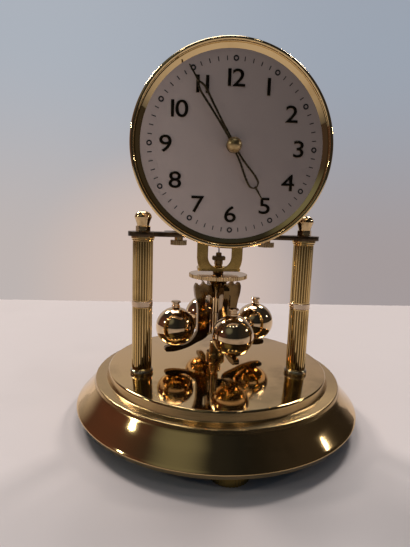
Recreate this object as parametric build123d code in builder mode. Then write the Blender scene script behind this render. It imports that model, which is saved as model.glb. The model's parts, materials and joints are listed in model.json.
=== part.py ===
"""Table clock with a slowly turning four-ball pendulum, built from its separate pieces.

Millimetres, +Z up. The origin is on the table, under the middle of the base. The dial faces -Y.
Heights are measured from the table, and forward distances from the pendulum axis towards the viewer.
"""
from build123d import *
import math
import os

os.makedirs("parts", exist_ok=True)

# Fits and cuts
fit_gap = 0.04
running_gap = 0.06
loose_gap = 0.3
overrun = 1.0

# Spun base
pendulum_back = 7.9
rim_tuck = 1.2
rim_rise = 2.4
skirt_width = 9.4
skirt_rise = 13.3
ledge_width = 6.7
ledge_round = 0.8
platform_margin = 9.55
platform_rise = 4.5
platform_lean = 0.8
platform_round = 1.0
shell_wall = 1.2
skirt_hollow = 1.1

# Base plate and levelling feet
base_plate_thickness = 2.0
base_plate_recess = 0.6
bush_radius = 5.0
bush_height = 5.0
bush_reach = 1.0
foot_radius = 8.2
foot_thickness = 4.2
foot_clear = 1.8
foot_knurl_radius = 0.5
foot_stud_radius = 2.0
foot_stud_tail = 1.6
foot_count = 3
foot_knurls = 36
foot_names = ("foot_front", "foot_right", "foot_left")

# Fluted pillars
pillar_lead = 15.5
pillar_ball_gap = 5.79
pillar_radius = 4.95
pillar_foot_proud = 0.9
pillar_foot_height = 2.2
pillar_foot_round = 0.9
pillar_cap_proud = 0.8
pillar_cap_height = 2.1
pillar_cap_step = 0.9
pillar_band_share = 0.52
pillar_band_length = 3.0
pillar_band_proud = 0.2
flute_radius = 0.42
flute_margin = 0.6
flute_count = 24
rod_radius = 1.9
rod_nut_radius = 3.6
rod_nut_height = 2.4
rod_tail = 0.8
finial_collar_radius = 3.6
finial_collar_height = 2.7
finial_waist_radius = 2.95
finial_widest_radius = 4.15
finial_widest_height = 7.0
finial_height = 10.0
finial_depth = 5.6
hexagon_sides = 6

# Cross bar and its thumb screws
bar_over_shelf = 19.2
bar_thickness = 2.2
bar_eye_radius = 7.2
bar_arm_width = 9.0
bar_overhang = 3.0
bar_lead = 1.2
bar_round = 2.0
thumb_head_radius = 4.15
thumb_head_height = 2.5
thumb_collar_radius = 2.2
thumb_collar_height = 2.0
thumb_shank_radius = 1.4
thumb_knurl_radius = 0.3
thumb_knurls = 28

# Movement frame
back_plate_forward = 5.5
plate_thickness = 1.5
plate_back_gap = 2.0
plate_side_margin = 4.4
plate_top_margin = 10.4
plate_corner = 6.0
post_radius = 3.2
post_rise = 4.6
post_barrel_gap = 1.41
upper_post_inset = 6.0
upper_post_drop = 7.0
post_screw_radius = 2.2
post_screw_height = 1.4

# Dial, bezel and hands
dial_rise = 39.1
dial_thickness = 0.8
dial_radius = 42.0
dial_hole_radius = 2.8
bezel_width = 3.0
bezel_lip = 1.4
bezel_proud = 2.2
bezel_tail = 1.0
bezel_rim_width = 1.5
bezel_groove = 0.35
dial_foot_radius = 1.3
dial_foot_circle = 23.0
dial_foot_count = 3
hour_hand_gap = 2.0
hand_thickness = 0.5
hand_spacing = 1.3
hour_hand_short = 11.4
hour_hand_widest = 2.7
minute_hand_margin = 4.4
minute_hand_widest = 1.75
hand_rail = 0.55
hand_hub_radius = 2.9
hand_tip = 0.22
hand_nut_radius = 3.0
hand_nut_height = 3.7
hand_nut_edge = 0.9
hour_hand_angle = 148.7
minute_hand_angle = -32.4

# Going train: tooth counts, tooth sizes and places between the plates
tooth_root_share = 0.54
tooth_tip_share = 0.18
addendum_share = 0.7
dedendum_share = 0.95
tooth_gap_share = 0.5
great_teeth = 96
first_pinion_teeth = 12
first_wheel_teeth = 90
second_pinion_teeth = 10
second_wheel_teeth = 90
centre_pinion_teeth = 10
centre_wheel_teeth = 48
third_pinion_teeth = 12
third_wheel_teeth = 40
escape_pinion_teeth = 16
escape_teeth = 24
great_module = 0.30
first_module = 0.28
second_module = 0.26
centre_module = 0.36
third_module = 0.36
arbor_radius = 0.85
pivot_radius = 0.45
arbor_shake = 0.2
wheel_thickness = 1.0
pinion_proud = 0.5
wheel_rim = 1.3
wheel_spoke = 1.3
wheel_hub_radius = 2.1
escape_height_over_centre = 11.5
escape_radius = 7.0
escape_tooth_depth = 1.5
second_wheel_gap = 0.7
first_wheel_gap = 1.3
great_wheel_gap = 0.8
centre_wheel_gap = 1.6
third_wheel_gap = 2.4
escape_wheel_gap = 2.0

# Barrel, winding square, ratchet and click
barrel_left = 8.0
barrel_drop = 22.0
barrel_step = 1.115
barrel_wall = 0.8
great_wheel_thickness = 1.5
barrel_back_gap = 1.2
barrel_cover_thickness = 1.0
barrel_cover_inset = 0.2
barrel_arbor_radius = 2.0
barrel_hub_radius = 3.0
barrel_pivot_radius = 1.2
first_wheel_turn = 16.2
winding_journal_radius = 1.9
winding_square = 2.6
winding_reach = 11.0
ratchet_radius = 6.0
ratchet_tooth_depth = 0.8
ratchet_thickness = 1.5
ratchet_teeth = 24
ratchet_gap = 0.3
click_gap = 0.15
click_pivot_radius = 1.9
click_pin_radius = 0.9
click_tip_width = 0.8
click_pivot_angle = 140.0
click_tip_angle = 105.0
click_pivot_reach = 10.4
click_spring_thickness = 0.5
click_spring_length = 12.0
click_spring_clear = 1.8

# Motion work behind the dial
cannon_teeth = 12
minute_wheel_teeth = 36
minute_pinion_teeth = 10
hour_wheel_teeth = 40
cannon_module = 0.3125
hour_module = 0.30
minute_wheel_direction = 225.0
cannon_tube_radius = 1.3
centre_front_radius = 0.8
hour_pipe_radius = 2.1
motion_stud_radius = 0.7
cannon_start = 0.3
cannon_wheel_start = 0.8
hour_wheel_gap = 0.7
motion_clear = 9.0
motion_stud_tail = 0.5

# Anchor
anchor_distance = 9.0
anchor_hub_radius = 1.9
anchor_thickness = 1.8
anchor_arm_width = 1.5
anchor_pallet_clear = 0.7
anchor_pallet_length = 2.0
anchor_pallet_angle = 52.0
anchor_pin_radius = 0.35
anchor_pin_over_fork = 0.9

# Suspension
fork_lag = 0.7
fork_over_plates = 2.3
fork_block_radius = 1.7
fork_block_height = 2.4
fork_thickness = 0.8
fork_tine = 0.8
fork_slot_gap = 0.3
fork_lead = 1.4
top_block_width = 5.0
top_block_depth = 4.0
top_block_height = 5.0
top_block_rise = 2.9
saddle_thickness = 1.5
saddle_half_width = 8.0
saddle_leg_width = 3.0
saddle_grip = 17.7
saddle_tail = 3.5
saddle_screw_rise = 4.0
ribbon_width = 1.2
ribbon_thickness = 0.15
block_stub_radius = 1.6
block_stub_height = 1.9
block_wing_half = 3.65
block_wing_depth = 3.0
block_wing_height = 2.4
block_wing_clear = 4.0
block_neck_radius = 2.1
block_collar_radius = 3.0
block_collar_height = 1.1
back_screw_radius = 1.6
back_screw_height = 1.0

# Lower bracket round the bottom block
bracket_half_width = 12.4
bracket_leg_width = 6.0
bracket_thickness = 1.5
bracket_grip = 9.3
bracket_screw_drop = 3.4
bracket_taper = 2.2
bracket_taper_height = 6.6
shelf_clear = 0.65
shelf_thickness = 1.6
shelf_half_length = 11.8
shelf_depth = 11.9
shelf_hole_radius = 3.3

# Turning pendulum
disc_radius = 16.2
disc_thickness = 2.0
disc_knurl_radius = 0.45
disc_knurls = 72
disc_seat_gap = 0.1
hub_top_radius = 7.0
hub_mid_radius = 4.0
hub_cone_height = 4.0
hub_low_radius = 3.0
hub_neck_height = 4.25
hub_over_balls = 18.5
stem_radius = 2.2
stem_clear = 1.8
pin_radius = 1.0
pin_clear = 1.0
ball_radius = 10.7
ball_count = 4
pendulum_turn = 15.0
ball_rod_radius = 1.1
ball_seat_gap = 0.1
knob_radius = 2.65
knob_waist_radius = 1.9
knob_foot_radius = 2.3
knob_height = 3.6
knob_flange = 1.1
arm_thickness = 3.2
arm_clearance = 5.5
arm_ball_gap = 1.7
arm_width = 7.1
arm_inset = 2.26
arm_leg_width = 4.2
arm_tip_reach = 4.5
arm_tip_thickness = 3.1
arm_sweep_rise = 11.0
arm_sweep_share = 0.58
arm_small_ear_length = 4.5
arm_small_ear_rise = 2.3
arm_small_ear_width = 0.6
arm_notch_width = 2.8
arm_notch_depth = 1.2
arm_ear_width = 0.7
arm_ear_drop = 1.45
arm_ear_bulge = 0.8
arm_bulge_drop = 2.9
arm_eye_height = 7.8
arm_foot_width = 1.6
arm_foot_height = 3.0

# Guide post on the base
post_flange_radius = 5.4
post_flange_height = 3.1
post_cup_radius = 3.4
post_cup_height = 9.2
post_cup_bore = 1.9
post_cup_bore_depth = 6.0
post_cup_step = 0.8
post_cup_groove = 0.4
post_cup_groove_heights = (4.6, 6.4)


# Heights of the base
floor_gap = foot_thickness + foot_clear
rim_height = floor_gap + rim_rise
ledge_height = rim_height + skirt_rise
platform_height = ledge_height + platform_rise
post_cup_top = platform_height + post_cup_height

# Heights of the pendulum, from the base up, and then of the bracket and the bar over it
arm_under = platform_height + arm_clearance
arm_seat = arm_under + arm_tip_thickness
ball_height = arm_seat + ball_seat_gap + ball_radius
hub_low_height = ball_height + hub_over_balls
hub_mid_height = hub_low_height + hub_neck_height
hub_top = hub_mid_height + hub_cone_height
disc_base = hub_top + disc_seat_gap
collar_bottom = disc_base + disc_thickness + disc_seat_gap
shelf_base = collar_bottom + block_collar_height + shelf_clear
block_wing_base = shelf_base + shelf_thickness + block_wing_clear
block_top = block_wing_base + block_wing_height + block_stub_height
bar_height = shelf_base + bar_over_shelf
bar_top = bar_height + bar_thickness

# Distances from the pendulum axis, from the stem out to the rim
arm_root = stem_radius + fit_gap
arm_foot_out = arm_root + arm_foot_width
arm_inner = arm_root + arm_inset
arm_outer = arm_inner + arm_width
ball_orbit = arm_outer + arm_ball_gap + ball_radius
pillar_foot_radius = pillar_radius + pillar_foot_proud
pillar_distance = ball_orbit + ball_radius + pillar_ball_gap + pillar_foot_radius
pillar_forward = pendulum_back + pillar_lead
pillar_spread = math.sqrt(pillar_distance ** 2 - pillar_forward ** 2)
platform_radius = math.hypot(pillar_spread, pillar_lead) + pillar_foot_radius + platform_margin
ledge_radius = platform_radius + ledge_width
rim_radius = ledge_radius + skirt_width
foot_circle_radius = ledge_radius + bush_reach - bush_radius

# Forward places of the plates, the wheels between them, the motion work and the dial
first_wheel_setback = second_wheel_gap + wheel_thickness + first_wheel_gap
great_wheel_setback = first_wheel_setback + wheel_thickness + great_wheel_gap
centre_wheel_setback = great_wheel_setback + great_wheel_thickness + centre_wheel_gap
third_wheel_setback = centre_wheel_setback + wheel_thickness + third_wheel_gap
escape_wheel_setback = third_wheel_setback + wheel_thickness + escape_wheel_gap
back_plate_front = back_plate_forward + plate_thickness
front_plate_back = back_plate_front + plate_back_gap + wheel_thickness + escape_wheel_setback
front_plate_front = front_plate_back + plate_thickness
plates_middle = (back_plate_forward + front_plate_front) / 2
second_wheel_start = front_plate_back - second_wheel_gap - wheel_thickness
first_wheel_start = front_plate_back - first_wheel_setback - wheel_thickness
great_wheel_start = front_plate_back - great_wheel_setback - great_wheel_thickness
centre_wheel_start = front_plate_back - centre_wheel_setback - wheel_thickness
third_wheel_start = front_plate_back - third_wheel_setback - wheel_thickness
escape_wheel_start = front_plate_back - escape_wheel_setback - wheel_thickness
fork_reach = escape_wheel_start + fork_lag
cannon_wheel_from = front_plate_front + cannon_wheel_start
hour_wheel_from = cannon_wheel_from + wheel_thickness + hour_wheel_gap
minute_pinion_end = hour_wheel_from + wheel_thickness + pinion_proud / 2
dial_back = hour_wheel_from + wheel_thickness + motion_clear
dial_forward = dial_back + dial_thickness

# Axes and sizes of the movement, seen from the front
dial_height = bar_top + dial_rise
train_centre = (0, dial_height)
barrel_centre = (-barrel_left, dial_height - barrel_drop)
escape_centre = (0, dial_height + escape_height_over_centre)
anchor_centre = (0, dial_height + escape_height_over_centre + anchor_distance)
plate_tall = anchor_centre[1] + plate_top_margin - bar_top
plate_top = bar_top + plate_tall
fork_height = plate_top + fork_over_plates
top_block_base = fork_height + top_block_rise
great_tip_radius = great_module * (great_teeth / 2 + addendum_share)
barrel_radius = great_module * (great_teeth / 2 - dedendum_share) - barrel_step
lower_post_height = bar_top + post_rise
post_to_barrel = great_tip_radius + post_barrel_gap + post_radius
thumb_spread = barrel_left + math.sqrt(post_to_barrel ** 2 - (barrel_centre[1] - lower_post_height) ** 2)
plate_half_width = thumb_spread + plate_side_margin
lower_posts = ((-thumb_spread, lower_post_height), (thumb_spread, lower_post_height))
upper_post_spread = plate_half_width - upper_post_inset
upper_post_height = plate_top - upper_post_drop
upper_posts = ((-upper_post_spread, upper_post_height), (upper_post_spread, upper_post_height))
motion_reach = cannon_module * (cannon_teeth + minute_wheel_teeth) / 2
minute_wheel_centre = (
    motion_reach * math.cos(math.radians(minute_wheel_direction)),
    dial_height + motion_reach * math.sin(math.radians(minute_wheel_direction)),
)


def forward(distance):
    """Upright plane seen from the front, at a distance in front of the pendulum axis."""
    return Plane.XZ.offset(distance - pendulum_back)


def level(height):
    """Level plane at a height, with its origin on the pendulum axis."""
    return Plane((0, pendulum_back, height))


def finish(piece, name):
    """Label a finished piece and write it to its own file."""
    piece.part.label = name
    export_step(piece.part, f"parts/{name}.step")


def polar(centre, radius, degrees):
    """Point at a radius and an angle round a centre."""
    angle = math.radians(degrees)
    return (centre[0] + radius * math.cos(angle), centre[1] + radius * math.sin(angle))


def reach_between(module, first_teeth, second_teeth):
    """Distance between the axes of two meshed gears."""
    return module * (first_teeth + second_teeth) / 2


def dome_middle(radius, edge, top):
    """Middle point of a round dome over an axis, from the radius and height of its edge and its top."""
    rise = top - edge
    sphere = (radius ** 2 + rise ** 2) / (2 * rise)
    angle = (math.atan2(sphere - rise, radius) + math.pi / 2) / 2
    return (sphere * math.cos(angle), top - sphere + sphere * math.sin(angle))


def meshed_point(first, first_reach, second, second_reach, side):
    """Axis that lies at one reach from a first axis and at another from a second axis."""
    across = (second[0] - first[0], second[1] - first[1])
    span = math.hypot(*across)
    along = (first_reach ** 2 - second_reach ** 2 + span ** 2) / (2 * span)
    off = side * math.sqrt(first_reach ** 2 - along ** 2)
    unit = (across[0] / span, across[1] / span)
    return (first[0] + along * unit[0] - off * unit[1], first[1] + along * unit[1] + off * unit[0])


def meshing_phase(first, second, first_teeth, second_teeth, first_phase):
    """Angle of a tooth of the second gear that puts its gaps where the first gear's teeth come."""
    line = math.atan2(second[1] - first[1], second[0] - first[0])
    lead = (line - first_phase) * first_teeth / (2 * math.pi)
    return line + math.pi - 2 * math.pi * (tooth_gap_share - lead) / second_teeth


def gear_outline(centre, teeth, module, phase):
    """Corner points of a gear with straight-sided teeth."""
    pitch = 2 * math.pi / teeth
    root = module * (teeth / 2 - dedendum_share)
    tip = module * (teeth / 2 + addendum_share)
    half_root = pitch * tooth_root_share / 2
    half_tip = pitch * tooth_tip_share / 2
    points = []
    for tooth in range(teeth):
        middle = phase + tooth * pitch
        for radius, turn in ((root, -half_root), (tip, -half_tip), (tip, half_tip), (root, half_root)):
            angle = middle + turn
            points.append((centre[0] + radius * math.cos(angle), centre[1] + radius * math.sin(angle)))
    return points


def saw_outline(centre, teeth, radius, depth, slant_share):
    """Corner points of a wheel with pointed, slanting teeth."""
    pitch = 2 * math.pi / teeth
    points = []
    for tooth in range(teeth):
        for reach, turn in ((radius - depth, 0), (radius, slant_share * pitch)):
            angle = tooth * pitch + turn
            points.append((centre[0] + reach * math.cos(angle), centre[1] + reach * math.sin(angle)))
    return points


def add_outline(points, start, thickness):
    """Plate with the given outline, inside the part being built."""
    with BuildSketch(forward(start)) as outline:
        with BuildLine():
            Polyline(points, close=True)
        make_face()
    extrude(outline.sketch, amount=thickness)


def add_gear(centre, teeth, module, phase, start, thickness):
    """Toothed disc, inside the part being built."""
    add_outline(gear_outline(centre, teeth, module, phase), start, thickness)


def add_round(centre, radius, start, end):
    """Round bar between two forward distances, inside the part being built."""
    with BuildSketch(forward(start)) as disc:
        with Locations(centre):
            Circle(radius)
    extrude(disc.sketch, amount=end - start)


def cut_round(centre, radius, start, end):
    """Round hole between two forward distances, in the part being built."""
    with BuildSketch(forward(start - overrun)) as hole:
        with Locations(centre):
            Circle(radius)
    extrude(hole.sketch, amount=end - start + 2 * overrun, mode=Mode.SUBTRACT)


def cut_spokes(centre, rim_inner, hub_outer, start, thickness):
    """Windows between four spokes, in the wheel being built."""
    with BuildSketch(forward(start - overrun)) as windows:
        with Locations(centre):
            Circle(rim_inner)
            Circle(hub_outer, mode=Mode.SUBTRACT)
            Rectangle(2 * rim_inner, wheel_spoke, mode=Mode.SUBTRACT)
            Rectangle(wheel_spoke, 2 * rim_inner, mode=Mode.SUBTRACT)
    extrude(windows.sketch, amount=thickness + 2 * overrun, mode=Mode.SUBTRACT)


# Spun base shell
def shell_profile(inset):
    """Half outline of the base, drawn in from the outside by an inset, down to its lower edge."""
    lower_radius = rim_radius - rim_tuck - inset
    middle_radius = (ledge_radius + rim_radius) / 2 - skirt_hollow - inset
    middle_height = (ledge_height + rim_height) / 2 - inset
    Polyline(
        (0, floor_gap),
        (0, platform_height - inset),
        (platform_radius - inset, platform_height - inset),
        (platform_radius + platform_lean - inset, ledge_height - inset),
        (ledge_radius - inset, ledge_height - inset),
    )
    ThreePointArc(
        (ledge_radius - inset, ledge_height - inset),
        (middle_radius, middle_height),
        (rim_radius - inset, rim_height),
    )
    Polyline((rim_radius - inset, rim_height), (lower_radius, floor_gap), (0, floor_gap))


with BuildPart() as base_shell:
    with BuildSketch(Plane.XZ):
        with BuildLine():
            shell_profile(0)
        make_face()
    revolve(axis=Axis.Z)
    top_edges = base_shell.edges().filter_by(GeomType.CIRCLE).group_by(Axis.Z)
    fillet(top_edges[-1], platform_round)
    ledge_edge = base_shell.edges().filter_by(GeomType.CIRCLE).filter_by(
        lambda edge: abs(edge.radius - ledge_radius) < fit_gap
    )
    fillet(ledge_edge, ledge_round)
    with BuildSketch(Plane.XZ):
        with BuildLine():
            shell_profile(shell_wall)
        make_face()
    revolve(axis=Axis.Z, mode=Mode.SUBTRACT)
    with BuildSketch(level(platform_height - shell_wall - overrun)):
        with Locations((-pillar_spread, -pillar_forward), (pillar_spread, -pillar_forward)):
            Circle(rod_radius + running_gap)
    extrude(amount=shell_wall + 2 * overrun, mode=Mode.SUBTRACT)
finish(base_shell, "base_shell")

# Plate that closes the base and carries the levelling feet
base_plate_bottom = floor_gap + base_plate_recess
base_plate_top = base_plate_bottom + base_plate_thickness
base_plate_radius = rim_radius - rim_tuck - shell_wall - loose_gap
foot_places = []
for index in range(foot_count):
    foot_places.append(polar((0, 0), foot_circle_radius, index * 360 / foot_count - 90))
with BuildPart() as base_plate:
    with BuildSketch(Plane.XY.offset(base_plate_bottom)):
        Circle(base_plate_radius)
    extrude(amount=base_plate_thickness)
    with BuildSketch(Plane.XY.offset(base_plate_top)):
        with Locations(*foot_places):
            Circle(bush_radius)
    extrude(amount=bush_height)
    with BuildSketch(Plane.XY.offset(base_plate_bottom - overrun)):
        with Locations(*foot_places):
            Circle(foot_stud_radius + running_gap)
    extrude(amount=base_plate_thickness + bush_height + 2 * overrun, mode=Mode.SUBTRACT)
finish(base_plate, "base_plate")

# Levelling feet: a knurled disc on a threaded stud
for foot_name, foot_centre in zip(foot_names, foot_places):
    with BuildPart() as foot:
        with BuildSketch():
            with Locations(foot_centre):
                Circle(foot_radius)
                with PolarLocations(foot_radius, foot_knurls):
                    Circle(foot_knurl_radius, mode=Mode.SUBTRACT)
        extrude(amount=foot_thickness)
        with BuildSketch(Plane.XY.offset(foot_thickness)):
            with Locations(foot_centre):
                Circle(foot_stud_radius)
        extrude(amount=base_plate_top + bush_height + foot_stud_tail - foot_thickness)
    finish(foot, foot_name)

# Fluted pillars with a plain band, their feet and caps, the rods inside and the nuts below
pillar_foot_top = platform_height + pillar_foot_height
pillar_cap_bottom = bar_height - pillar_cap_height
band_height = pillar_foot_top + pillar_band_share * (pillar_cap_bottom - pillar_foot_top)
band_bottom = band_height - pillar_band_length / 2
band_top = band_height + pillar_band_length / 2
pillar_places = {"left": (-pillar_spread, -pillar_forward), "right": (pillar_spread, -pillar_forward)}
for side, place in pillar_places.items():
    with BuildPart() as pillar:
        with BuildSketch(level(pillar_foot_top)):
            with Locations(place):
                Circle(pillar_radius)
        extrude(amount=pillar_cap_bottom - pillar_foot_top)
        with BuildSketch(level(band_bottom)):
            with Locations(place):
                Circle(pillar_radius + pillar_band_proud)
        extrude(amount=pillar_band_length)
        for low, high in ((pillar_foot_top, band_bottom), (band_top, pillar_cap_bottom)):
            with BuildSketch(level(low + flute_margin)):
                with Locations(place):
                    with PolarLocations(pillar_radius, flute_count):
                        Circle(flute_radius)
            extrude(amount=high - low - 2 * flute_margin, mode=Mode.SUBTRACT)
        with BuildSketch(level(pillar_foot_top - overrun)):
            with Locations(place):
                Circle(rod_radius + running_gap)
        extrude(amount=pillar_cap_bottom - pillar_foot_top + 2 * overrun, mode=Mode.SUBTRACT)
    finish(pillar, f"pillar_{side}")

with BuildPart() as pillar_feet:
    with BuildSketch(level(platform_height)):
        with Locations(*pillar_places.values()):
            Circle(pillar_foot_radius)
    extrude(amount=pillar_foot_height)
    fillet(pillar_feet.edges().filter_by(GeomType.CIRCLE), pillar_foot_round)
    with BuildSketch(level(platform_height - overrun)):
        with Locations(*pillar_places.values()):
            Circle(rod_radius + running_gap)
    extrude(amount=pillar_foot_height + 2 * overrun, mode=Mode.SUBTRACT)
finish(pillar_feet, "pillar_feet")

with BuildPart() as pillar_caps:
    with BuildSketch(level(pillar_cap_bottom)):
        with Locations(*pillar_places.values()):
            Circle(pillar_radius + pillar_cap_step / 2)
    extrude(amount=pillar_cap_step)
    with BuildSketch(level(pillar_cap_bottom + pillar_cap_step)):
        with Locations(*pillar_places.values()):
            Circle(pillar_radius + pillar_cap_proud)
    extrude(amount=pillar_cap_height - pillar_cap_step)
    with BuildSketch(level(pillar_cap_bottom - overrun)):
        with Locations(*pillar_places.values()):
            Circle(rod_radius + running_gap)
    extrude(amount=pillar_cap_height + 2 * overrun, mode=Mode.SUBTRACT)
finish(pillar_caps, "pillar_caps")

rod_nut_top = platform_height - shell_wall
rod_bottom = rod_nut_top - rod_nut_height - rod_tail
rod_top = bar_top + finial_depth - rod_tail
with BuildPart() as pillar_rods:
    with BuildSketch(level(rod_bottom)):
        with Locations(*pillar_places.values()):
            Circle(rod_radius)
    extrude(amount=rod_top - rod_bottom)
finish(pillar_rods, "pillar_rods")

with BuildPart() as rod_nuts:
    with BuildSketch(level(rod_nut_top - rod_nut_height)):
        with Locations(*pillar_places.values()):
            RegularPolygon(rod_nut_radius, hexagon_sides)
            Circle(rod_radius + fit_gap, mode=Mode.SUBTRACT)
    extrude(amount=rod_nut_height)
finish(rod_nuts, "rod_nuts")

# Acorn finials that clamp the bar
for side, place in pillar_places.items():
    with BuildPart() as finial:
        with BuildSketch(level(bar_top)):
            with Locations(place):
                RegularPolygon(finial_collar_radius, hexagon_sides)
        extrude(amount=finial_collar_height)
        finial_foot = (place[0], place[1] + pendulum_back, bar_top)
        with BuildSketch(Plane(origin=finial_foot, x_dir=(1, 0, 0), z_dir=(0, -1, 0))):
            with BuildLine():
                Polyline(
                    (0, finial_height),
                    (0, finial_collar_height),
                    (finial_waist_radius, finial_collar_height),
                    (finial_widest_radius, finial_widest_height),
                )
                ThreePointArc(
                    (finial_widest_radius, finial_widest_height),
                    dome_middle(finial_widest_radius, finial_widest_height, finial_height),
                    (0, finial_height),
                )
            make_face()
        revolve(axis=Axis(finial_foot, (0, 0, 1)))
        with BuildSketch(level(bar_top - overrun)):
            with Locations(place):
                Circle(rod_radius + fit_gap)
        extrude(amount=finial_depth + overrun, mode=Mode.SUBTRACT)
    finish(finial, f"finial_{side}")

# Cross bar with an eye over each pillar and a wide middle under the movement
bar_front = front_plate_front + bar_lead
bar_middle = (bar_front + back_plate_forward) / 2
thumb_places = ((-thumb_spread, -plates_middle), (thumb_spread, -plates_middle))
with BuildPart() as movement_bar:
    with BuildSketch(level(bar_height)):
        with Locations((0, -bar_middle)):
            RectangleRounded(
                2 * (plate_half_width + bar_overhang), bar_front - back_plate_forward, bar_round
            )
        with Locations((0, -pillar_forward)):
            Rectangle(2 * pillar_spread, bar_arm_width)
        with Locations(*pillar_places.values()):
            Circle(bar_eye_radius)
            Circle(rod_radius + running_gap, mode=Mode.SUBTRACT)
        with Locations(*thumb_places):
            Circle(thumb_shank_radius + running_gap, mode=Mode.SUBTRACT)
    extrude(amount=bar_thickness)
finish(movement_bar, "movement_bar")

thumb_shank_top = bar_top + post_rise
with BuildPart() as thumb_screws:
    with BuildSketch(level(bar_height - thumb_collar_height - thumb_head_height)):
        with Locations(*thumb_places):
            Circle(thumb_head_radius)
            with PolarLocations(thumb_head_radius, thumb_knurls):
                Circle(thumb_knurl_radius, mode=Mode.SUBTRACT)
    extrude(amount=thumb_head_height)
    with BuildSketch(level(bar_height - thumb_collar_height)):
        with Locations(*thumb_places):
            Circle(thumb_collar_radius)
    extrude(amount=thumb_collar_height)
    with BuildSketch(level(bar_height)):
        with Locations(*thumb_places):
            Circle(thumb_shank_radius)
    extrude(amount=thumb_shank_top - bar_height)
finish(thumb_screws, "thumb_screws")

# Axes of the going train
first_centre = polar(
    barrel_centre, reach_between(great_module, great_teeth, first_pinion_teeth), first_wheel_turn
)
second_centre = meshed_point(
    train_centre,
    reach_between(second_module, second_wheel_teeth, centre_pinion_teeth),
    first_centre,
    reach_between(first_module, first_wheel_teeth, second_pinion_teeth),
    1,
)
third_centre = meshed_point(
    train_centre,
    reach_between(centre_module, centre_wheel_teeth, third_pinion_teeth),
    escape_centre,
    reach_between(third_module, third_wheel_teeth, escape_pinion_teeth),
    1,
)
pivot_places = (first_centre, second_centre, third_centre, escape_centre, anchor_centre)

# Movement plates
plate_middle_height = bar_top + plate_tall / 2
dial_foot_places = []
for index in range(dial_foot_count):
    dial_foot_places.append(polar(train_centre, dial_foot_circle, 90 + index * 360 / dial_foot_count))


def add_plate(start):
    """Rounded movement plate with the pivot holes that both plates share."""
    with BuildSketch(forward(start)) as face:
        with Locations((0, plate_middle_height)):
            RectangleRounded(2 * plate_half_width, plate_tall, plate_corner)
        with Locations(*pivot_places):
            Circle(pivot_radius + running_gap, mode=Mode.SUBTRACT)
    extrude(face.sketch, amount=plate_thickness)


with BuildPart() as front_plate:
    add_plate(front_plate_back)
    cut_round(train_centre, centre_front_radius + running_gap, front_plate_back, front_plate_front)
    cut_round(barrel_centre, barrel_pivot_radius + running_gap, front_plate_back, front_plate_front)
    stud_end = minute_pinion_end + motion_stud_tail
    add_round(minute_wheel_centre, motion_stud_radius, front_plate_front, stud_end)
finish(front_plate, "front_plate")

click_pivot = polar(barrel_centre, click_pivot_reach, click_pivot_angle)
with BuildPart() as back_plate:
    add_plate(back_plate_forward)
    cut_round(train_centre, pivot_radius + running_gap, back_plate_forward, back_plate_front)
    cut_round(barrel_centre, winding_journal_radius + running_gap, back_plate_forward, back_plate_front)
finish(back_plate, "back_plate")

with BuildPart() as plate_posts:
    for place in lower_posts + upper_posts:
        add_round(place, post_radius, back_plate_front, front_plate_back)
    with BuildSketch(level(bar_top)):
        with Locations(*thumb_places):
            Circle(thumb_shank_radius + fit_gap)
    extrude(amount=post_rise + loose_gap, mode=Mode.SUBTRACT)
finish(plate_posts, "plate_posts")

with BuildPart() as plate_screws:
    for place in lower_posts + upper_posts:
        add_round(place, post_screw_radius, front_plate_front, front_plate_front + post_screw_height)
        add_round(place, post_screw_radius, back_plate_forward - post_screw_height, back_plate_forward)
finish(plate_screws, "plate_screws")

# Barrel with its toothed rim, cover, spring and winding arbor
barrel_back = back_plate_front + barrel_back_gap
cover_start = barrel_back + barrel_cover_inset
spring_start = cover_start + barrel_cover_thickness + loose_gap
with BuildPart() as barrel:
    add_gear(barrel_centre, great_teeth, great_module, 0, great_wheel_start, great_wheel_thickness)
    add_round(barrel_centre, barrel_radius, barrel_back, great_wheel_start)
    with BuildSketch(forward(barrel_back)):
        with Locations(barrel_centre):
            Circle(barrel_radius - barrel_wall)
    extrude(amount=great_wheel_start - barrel_back, mode=Mode.SUBTRACT)
    cut_round(
        barrel_centre, barrel_arbor_radius + running_gap, great_wheel_start,
        great_wheel_start + great_wheel_thickness,
    )
finish(barrel, "barrel")

with BuildPart() as barrel_cover:
    add_round(
        barrel_centre, barrel_radius - barrel_wall - fit_gap, cover_start,
        cover_start + barrel_cover_thickness,
    )
    cut_round(
        barrel_centre, barrel_arbor_radius + running_gap, cover_start, cover_start + barrel_cover_thickness
    )
finish(barrel_cover, "barrel_cover")

with BuildPart() as mainspring:
    add_round(barrel_centre, barrel_radius - barrel_wall - loose_gap, spring_start, great_wheel_start)
    cut_round(barrel_centre, barrel_hub_radius + loose_gap, spring_start, great_wheel_start)
finish(mainspring, "mainspring")

with BuildPart() as barrel_arbor:
    add_round(
        barrel_centre, barrel_arbor_radius, back_plate_front + arbor_shake, front_plate_back - arbor_shake
    )
    add_round(
        barrel_centre, barrel_hub_radius, cover_start + barrel_cover_thickness + arbor_shake,
        great_wheel_start - arbor_shake,
    )
    add_round(barrel_centre, barrel_pivot_radius, front_plate_back - arbor_shake, front_plate_front)
    add_round(
        barrel_centre, winding_journal_radius, back_plate_forward, back_plate_front + arbor_shake
    )
    with BuildSketch(forward(back_plate_forward - winding_reach)):
        with Locations(barrel_centre):
            Rectangle(winding_square, winding_square)
    extrude(amount=winding_reach)
finish(barrel_arbor, "barrel_arbor")

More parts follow.
